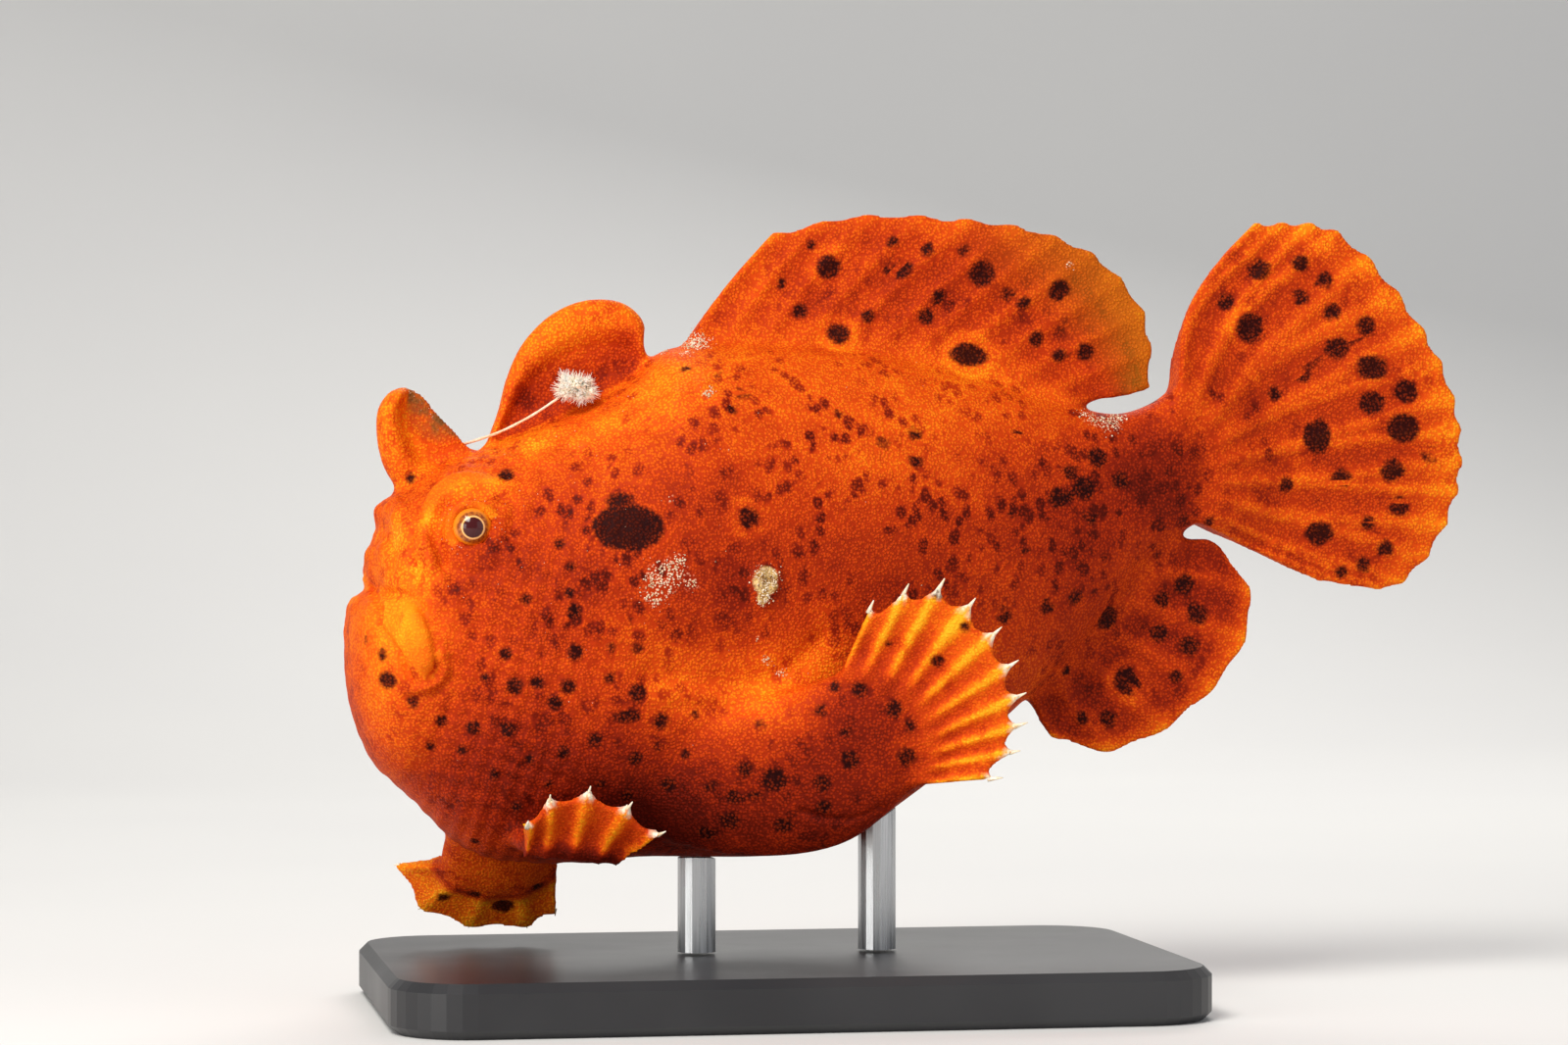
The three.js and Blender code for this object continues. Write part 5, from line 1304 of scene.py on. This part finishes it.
tuftPaint = paleMaterial("lureTuft", (0.97, 0.94, 0.86, 1), (0.97, 0.86, 0.66, 1), 600.0, 0.6, 0.2)
rodPaint = paleMaterial("lureRod", (0.90, 0.74, 0.56, 1), (0.84, 0.55, 0.32, 1), 700.0, 0.45, 0.3,
                        foot=(0.80, 0.16, 0.005, 1))
clawPaint = paleMaterial("rayTips", (0.95, 0.86, 0.70, 1), (0.88, 0.66, 0.42, 1), 1400.0, 0.4, 0.3)
crustPaint = paleMaterial("crustGrains", (0.88, 0.74, 0.56, 1), (0.62, 0.40, 0.22, 1), 1100.0, 0.75, 0.1)
finish("lure_rod", lureRodMesh(), rodPaint, ["illicium"])


def spherePoints(count):
    k = np.arange(count)
    lift = 1 - 2 * (k + 0.5) / count
    turn = 2.39996 * k
    flat = np.sqrt(1 - lift ** 2)
    return np.stack([flat * np.cos(turn), flat * np.sin(turn), lift], axis=1)


def clumpCentres(draw):
    count = lure["clumps"]
    spots = spherePoints(count) * draw.uniform(0.4, 1.0, (count, 1)) * np.array(lure["spread"])
    spots[:, 2] -= lure["tilt"] * spots[:, 0]
    return spots, draw.uniform(0.55, 1.25, count)


def lureTuft():
    draw = np.random.default_rng(5)
    clumps, clumpSizes = clumpCentres(draw)
    own = draw.integers(0, lure["clumps"], lure["threads"])
    out = spherePoints(lure["threads"])
    size = clumpSizes[own]
    inner = lure["core"] * size * draw.uniform(0.3, 1.0, len(out))
    starts = np.array(lure["tuftAt"]) + clumps[own] + out * inner[:, None]
    aims = out + draw.normal(0, 0.55, out.shape) + clumps[own] * 0.3
    return grown("lureTuft", filamentTree(), starts, 0.5 + 0.6 * size, aims, Length=lure["length"] * metres,
                 Thickness=lure["thickness"] * metres, Variation=0.55, Sides=4, Seed=4, Material=tuftPaint)


def lureBeads():
    draw = np.random.default_rng(5)
    clumps, clumpSizes = clumpCentres(draw)
    own = draw.integers(0, lure["clumps"], lure["beads"])
    out = spherePoints(lure["beads"])
    inner = lure["core"] * clumpSizes[own] * draw.uniform(0.2, 0.95, len(out))
    spots = np.array(lure["tuftAt"]) + clumps[own] + out * inner[:, None]
    return grown("lureBeads", grainTree(), spots, draw.uniform(0.6, 1.3, len(out)), out,
                 Radius=lure["bead"] * metres, Variation=0.4, Seed=6, Material=tuftPaint)


finish("lure_tuft", lureTuft(), tuftPaint, ["esca"])
finish("lure_beads", lureBeads(), tuftPaint, [])
print("lure made")


# Pale ends of the rays, in millimetres
claws = {"length": 1.55, "thickness": 0.3, "sunk": 0.95,
         "sizes": {"pectoral": 1.0, "pelvic": 0.95, "pelvicFar": 0.75}}


def rayTipPieces():
    draw = np.random.default_rng(8)
    wanted = [t for t in rayTips if t[0] in claws["sizes"]]
    starts, aims, sizes = [], [], []
    for name, point, outward in wanted:
        size = claws["sizes"][name] * draw.uniform(0.85, 1.15)
        starts.append(point - outward * claws["sunk"] * size)
        aims.append(outward)
        sizes.append(size)
    return grown("rayTips", filamentTree(), np.array(starts), np.array(sizes), np.array(aims),
                 Length=claws["length"] * metres, Thickness=claws["thickness"] * metres, Variation=0.12, Sides=10,
                 Seed=3, Material=clawPaint)


finish("ray_tips", rayTipPieces(), clawPaint, [])


# Grains on the pale patches, the horn and round the eyes, with a light dusting on the flank
crust = {"radius": 0.1, "onPale": 2.6, "onHorn": 0.5, "dusting": 0.012, "roundEye": 0.1, "eyeRing": 2.9,
         "slide": 0.28, "lift": 0.03}


def grainPieces():
    draw = np.random.default_rng(21)
    normals = normalsOf(skinMesh)
    dense = smoothstep(0.15, 0.8, pale) * crust["onPale"] + crust["onHorn"] * dry
    dusting = np.exp(-((skinPoints[:, 0] + 8) / 22) ** 2 - ((skinPoints[:, 2] - 58) / 20) ** 2)
    dense = dense + crust["dusting"] * dusting * (labels[:, 0] == 0)
    for side in (-1, 1):
        c = eyeCentre(side)
        around = np.hypot(skinPoints[:, 0] - c[0], skinPoints[:, 2] - c[2])
        onRing = (abs(around - crust["eyeRing"]) < 0.5) * (skinPoints[:, 1] * side > 5)
        dense = dense + crust["roundEye"] * onRing
    count = draw.poisson(dense)
    pick = np.repeat(np.arange(len(skinPoints)), count)
    slide = draw.normal(0, crust["slide"], (len(pick), 3))
    slide -= normals[pick] * (slide * normals[pick]).sum(1)[:, None]
    sizes = 0.45 + 0.5 * smoothstep(0.2, 0.7, pale[pick]) * draw.uniform(0.4, 1.4, len(pick))
    spots = skinPoints[pick] + slide + normals[pick] * crust["lift"]
    return grown("crust", grainTree(), spots, sizes, normals[pick], Radius=crust["radius"] * metres, Variation=0.4,
                 Seed=9, Material=crustPaint)


finish("crust_grains", grainPieces(), crustPaint, [])
print("tips and grains made")


def baseMaterial():
    material, nodes, shader, place = newMaterial("standSatin")
    speck = nodes.noise(place, 1800.0, 3.0, 0.6)
    cloud = nodes.noise(place, 40.0, 3.0, 0.5)
    nodes.put(shader.inputs["Base Color"], nodes.mix(nodes.fade(cloud, 0.3, 0.7), (0.018, 0.018, 0.020, 1),
                                                     (0.030, 0.030, 0.032, 1)))
    nodes.put(shader.inputs["Roughness"], nodes.fade(cloud, 0.3, 0.7, 0.34, 0.44))
    bump = nodes.add("ShaderNodeBump", {"Strength": 0.15, "Distance": 0.00005, "Height": speck.outputs[0]})
    nodes.put(shader.inputs["Normal"], bump.outputs[0])
    return material


def rodMaterial():
    material, nodes, shader, place = newMaterial("brushedRod")
    drawn = nodes.add("ShaderNodeMapping", {"Vector": place, "Scale": (1.0, 1.0, 0.02)})
    lines = nodes.noise(drawn.outputs[0], 4000.0, 2.0, 0.6)
    nodes.put(shader.inputs["Base Color"], nodes.mix(nodes.fade(lines, 0.3, 0.7), (0.42, 0.43, 0.44, 1),
                                                     (0.62, 0.63, 0.64, 1)))
    nodes.put(shader.inputs["Roughness"], nodes.fade(lines, 0.3, 0.7, 0.24, 0.38))
    shader.inputs["Metallic"].default_value = 1.0
    bump = nodes.add("ShaderNodeBump", {"Strength": 0.1, "Distance": 0.00003, "Height": lines.outputs[0]})
    nodes.put(shader.inputs["Normal"], bump.outputs[0])
    return material


def dress(nodeName, material):
    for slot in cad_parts[nodeName].material_slots:
        slot.link = "OBJECT"
        slot.material = material


dress("stand_base", baseMaterial())
rodFinish = rodMaterial()
dress("stand_rod_front", rodFinish)
dress("stand_rod_rear", rodFinish)


# Plain paper floor that curves up behind, and soft sky light
studio = {"floor": (0.80, 0.79, 0.77, 1), "shade": (0.78, 0.77, 0.755, 1), "flat": 0.45, "cove": 0.45, "bends": 14,
          "top": 2.4, "reach": 2.2, "aim": (0.0, 0.0, 0.05), "skyColour": (0.92, 0.95, 1.0, 1), "sky": 0.36}


def makeStudio():
    flat, cove, reach, bends = studio["flat"], studio["cove"], studio["reach"], studio["bends"]
    profile = [(-reach, 0.0), (flat, 0.0)]
    for k in range(1, bends + 1):
        angle = math.pi / 2 * k / bends
        profile.append((flat + cove * math.sin(angle), cove * (1 - math.cos(angle))))
    profile.append((flat + cove, studio["top"]))
    points = [(x, y, z) for y, z in profile for x in (-reach, reach)]
    faces = [(2 * k, 2 * k + 1, 2 * k + 3, 2 * k + 2) for k in range(len(profile) - 1)]
    mesh = meshOf("sweep", points, faces, 1.0)
    shaded(mesh)
    material, nodes, shader, place = newMaterial("sweepPaper")
    cloud = nodes.noise(place, 6.0, 2.0, 0.5)
    nodes.put(shader.inputs["Base Color"], nodes.mix(nodes.fade(cloud, 0.3, 0.7), studio["floor"], studio["shade"]))
    shader.inputs["Roughness"].default_value = 0.85
    mesh.materials.append(material)
    held(mesh, "sweep")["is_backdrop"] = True


# Soft square lamps; places in metres, hidden from the camera
lamps = [dict(name="key", at=(-0.30, -0.40, 0.56), size=0.30, power=4.4, colour=(1.0, 0.97, 0.92)),
         dict(name="fill", at=(0.60, -0.50, 0.22), size=0.60, power=0.7, colour=(0.98, 0.98, 1.0)),
         dict(name="rim", at=(0.20, 0.50, 0.48), size=0.40, power=2.0, colour=(1.0, 0.98, 0.95)),
         dict(name="front", at=(-0.58, -0.42, 0.09), size=0.40, power=2.1, colour=(1.0, 0.98, 0.95))]


def makeLamps():
    for lamp in lamps:
        data = bpy.data.lights.new(lamp["name"], "AREA")
        data.size = lamp["size"]
        data.energy = lamp["power"]
        data.color = lamp["colour"]
        light = held(data, lamp["name"])
        light.location = lamp["at"]
        light.visible_camera = False
        light.rotation_euler = (Vector(studio["aim"]) - Vector(lamp["at"])).to_track_quat("-Z", "Y").to_euler()
    world = bpy.data.worlds.new("studio")
    scene.world = world
    world.use_nodes = True
    backdrop = world.node_tree.nodes["Background"]
    backdrop.inputs[0].default_value = studio["skyColour"]
    backdrop.inputs[1].default_value = studio["sky"]


makeStudio()
makeLamps()
scene.view_settings.view_transform = "Standard"
scene.view_settings.look = "None"
scene.view_settings.exposure = 0.0
print("studio lit")

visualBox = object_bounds()
{"cad": [list(corner) for corner in cadBox], "visual": [list(corner) for corner in visualBox]}
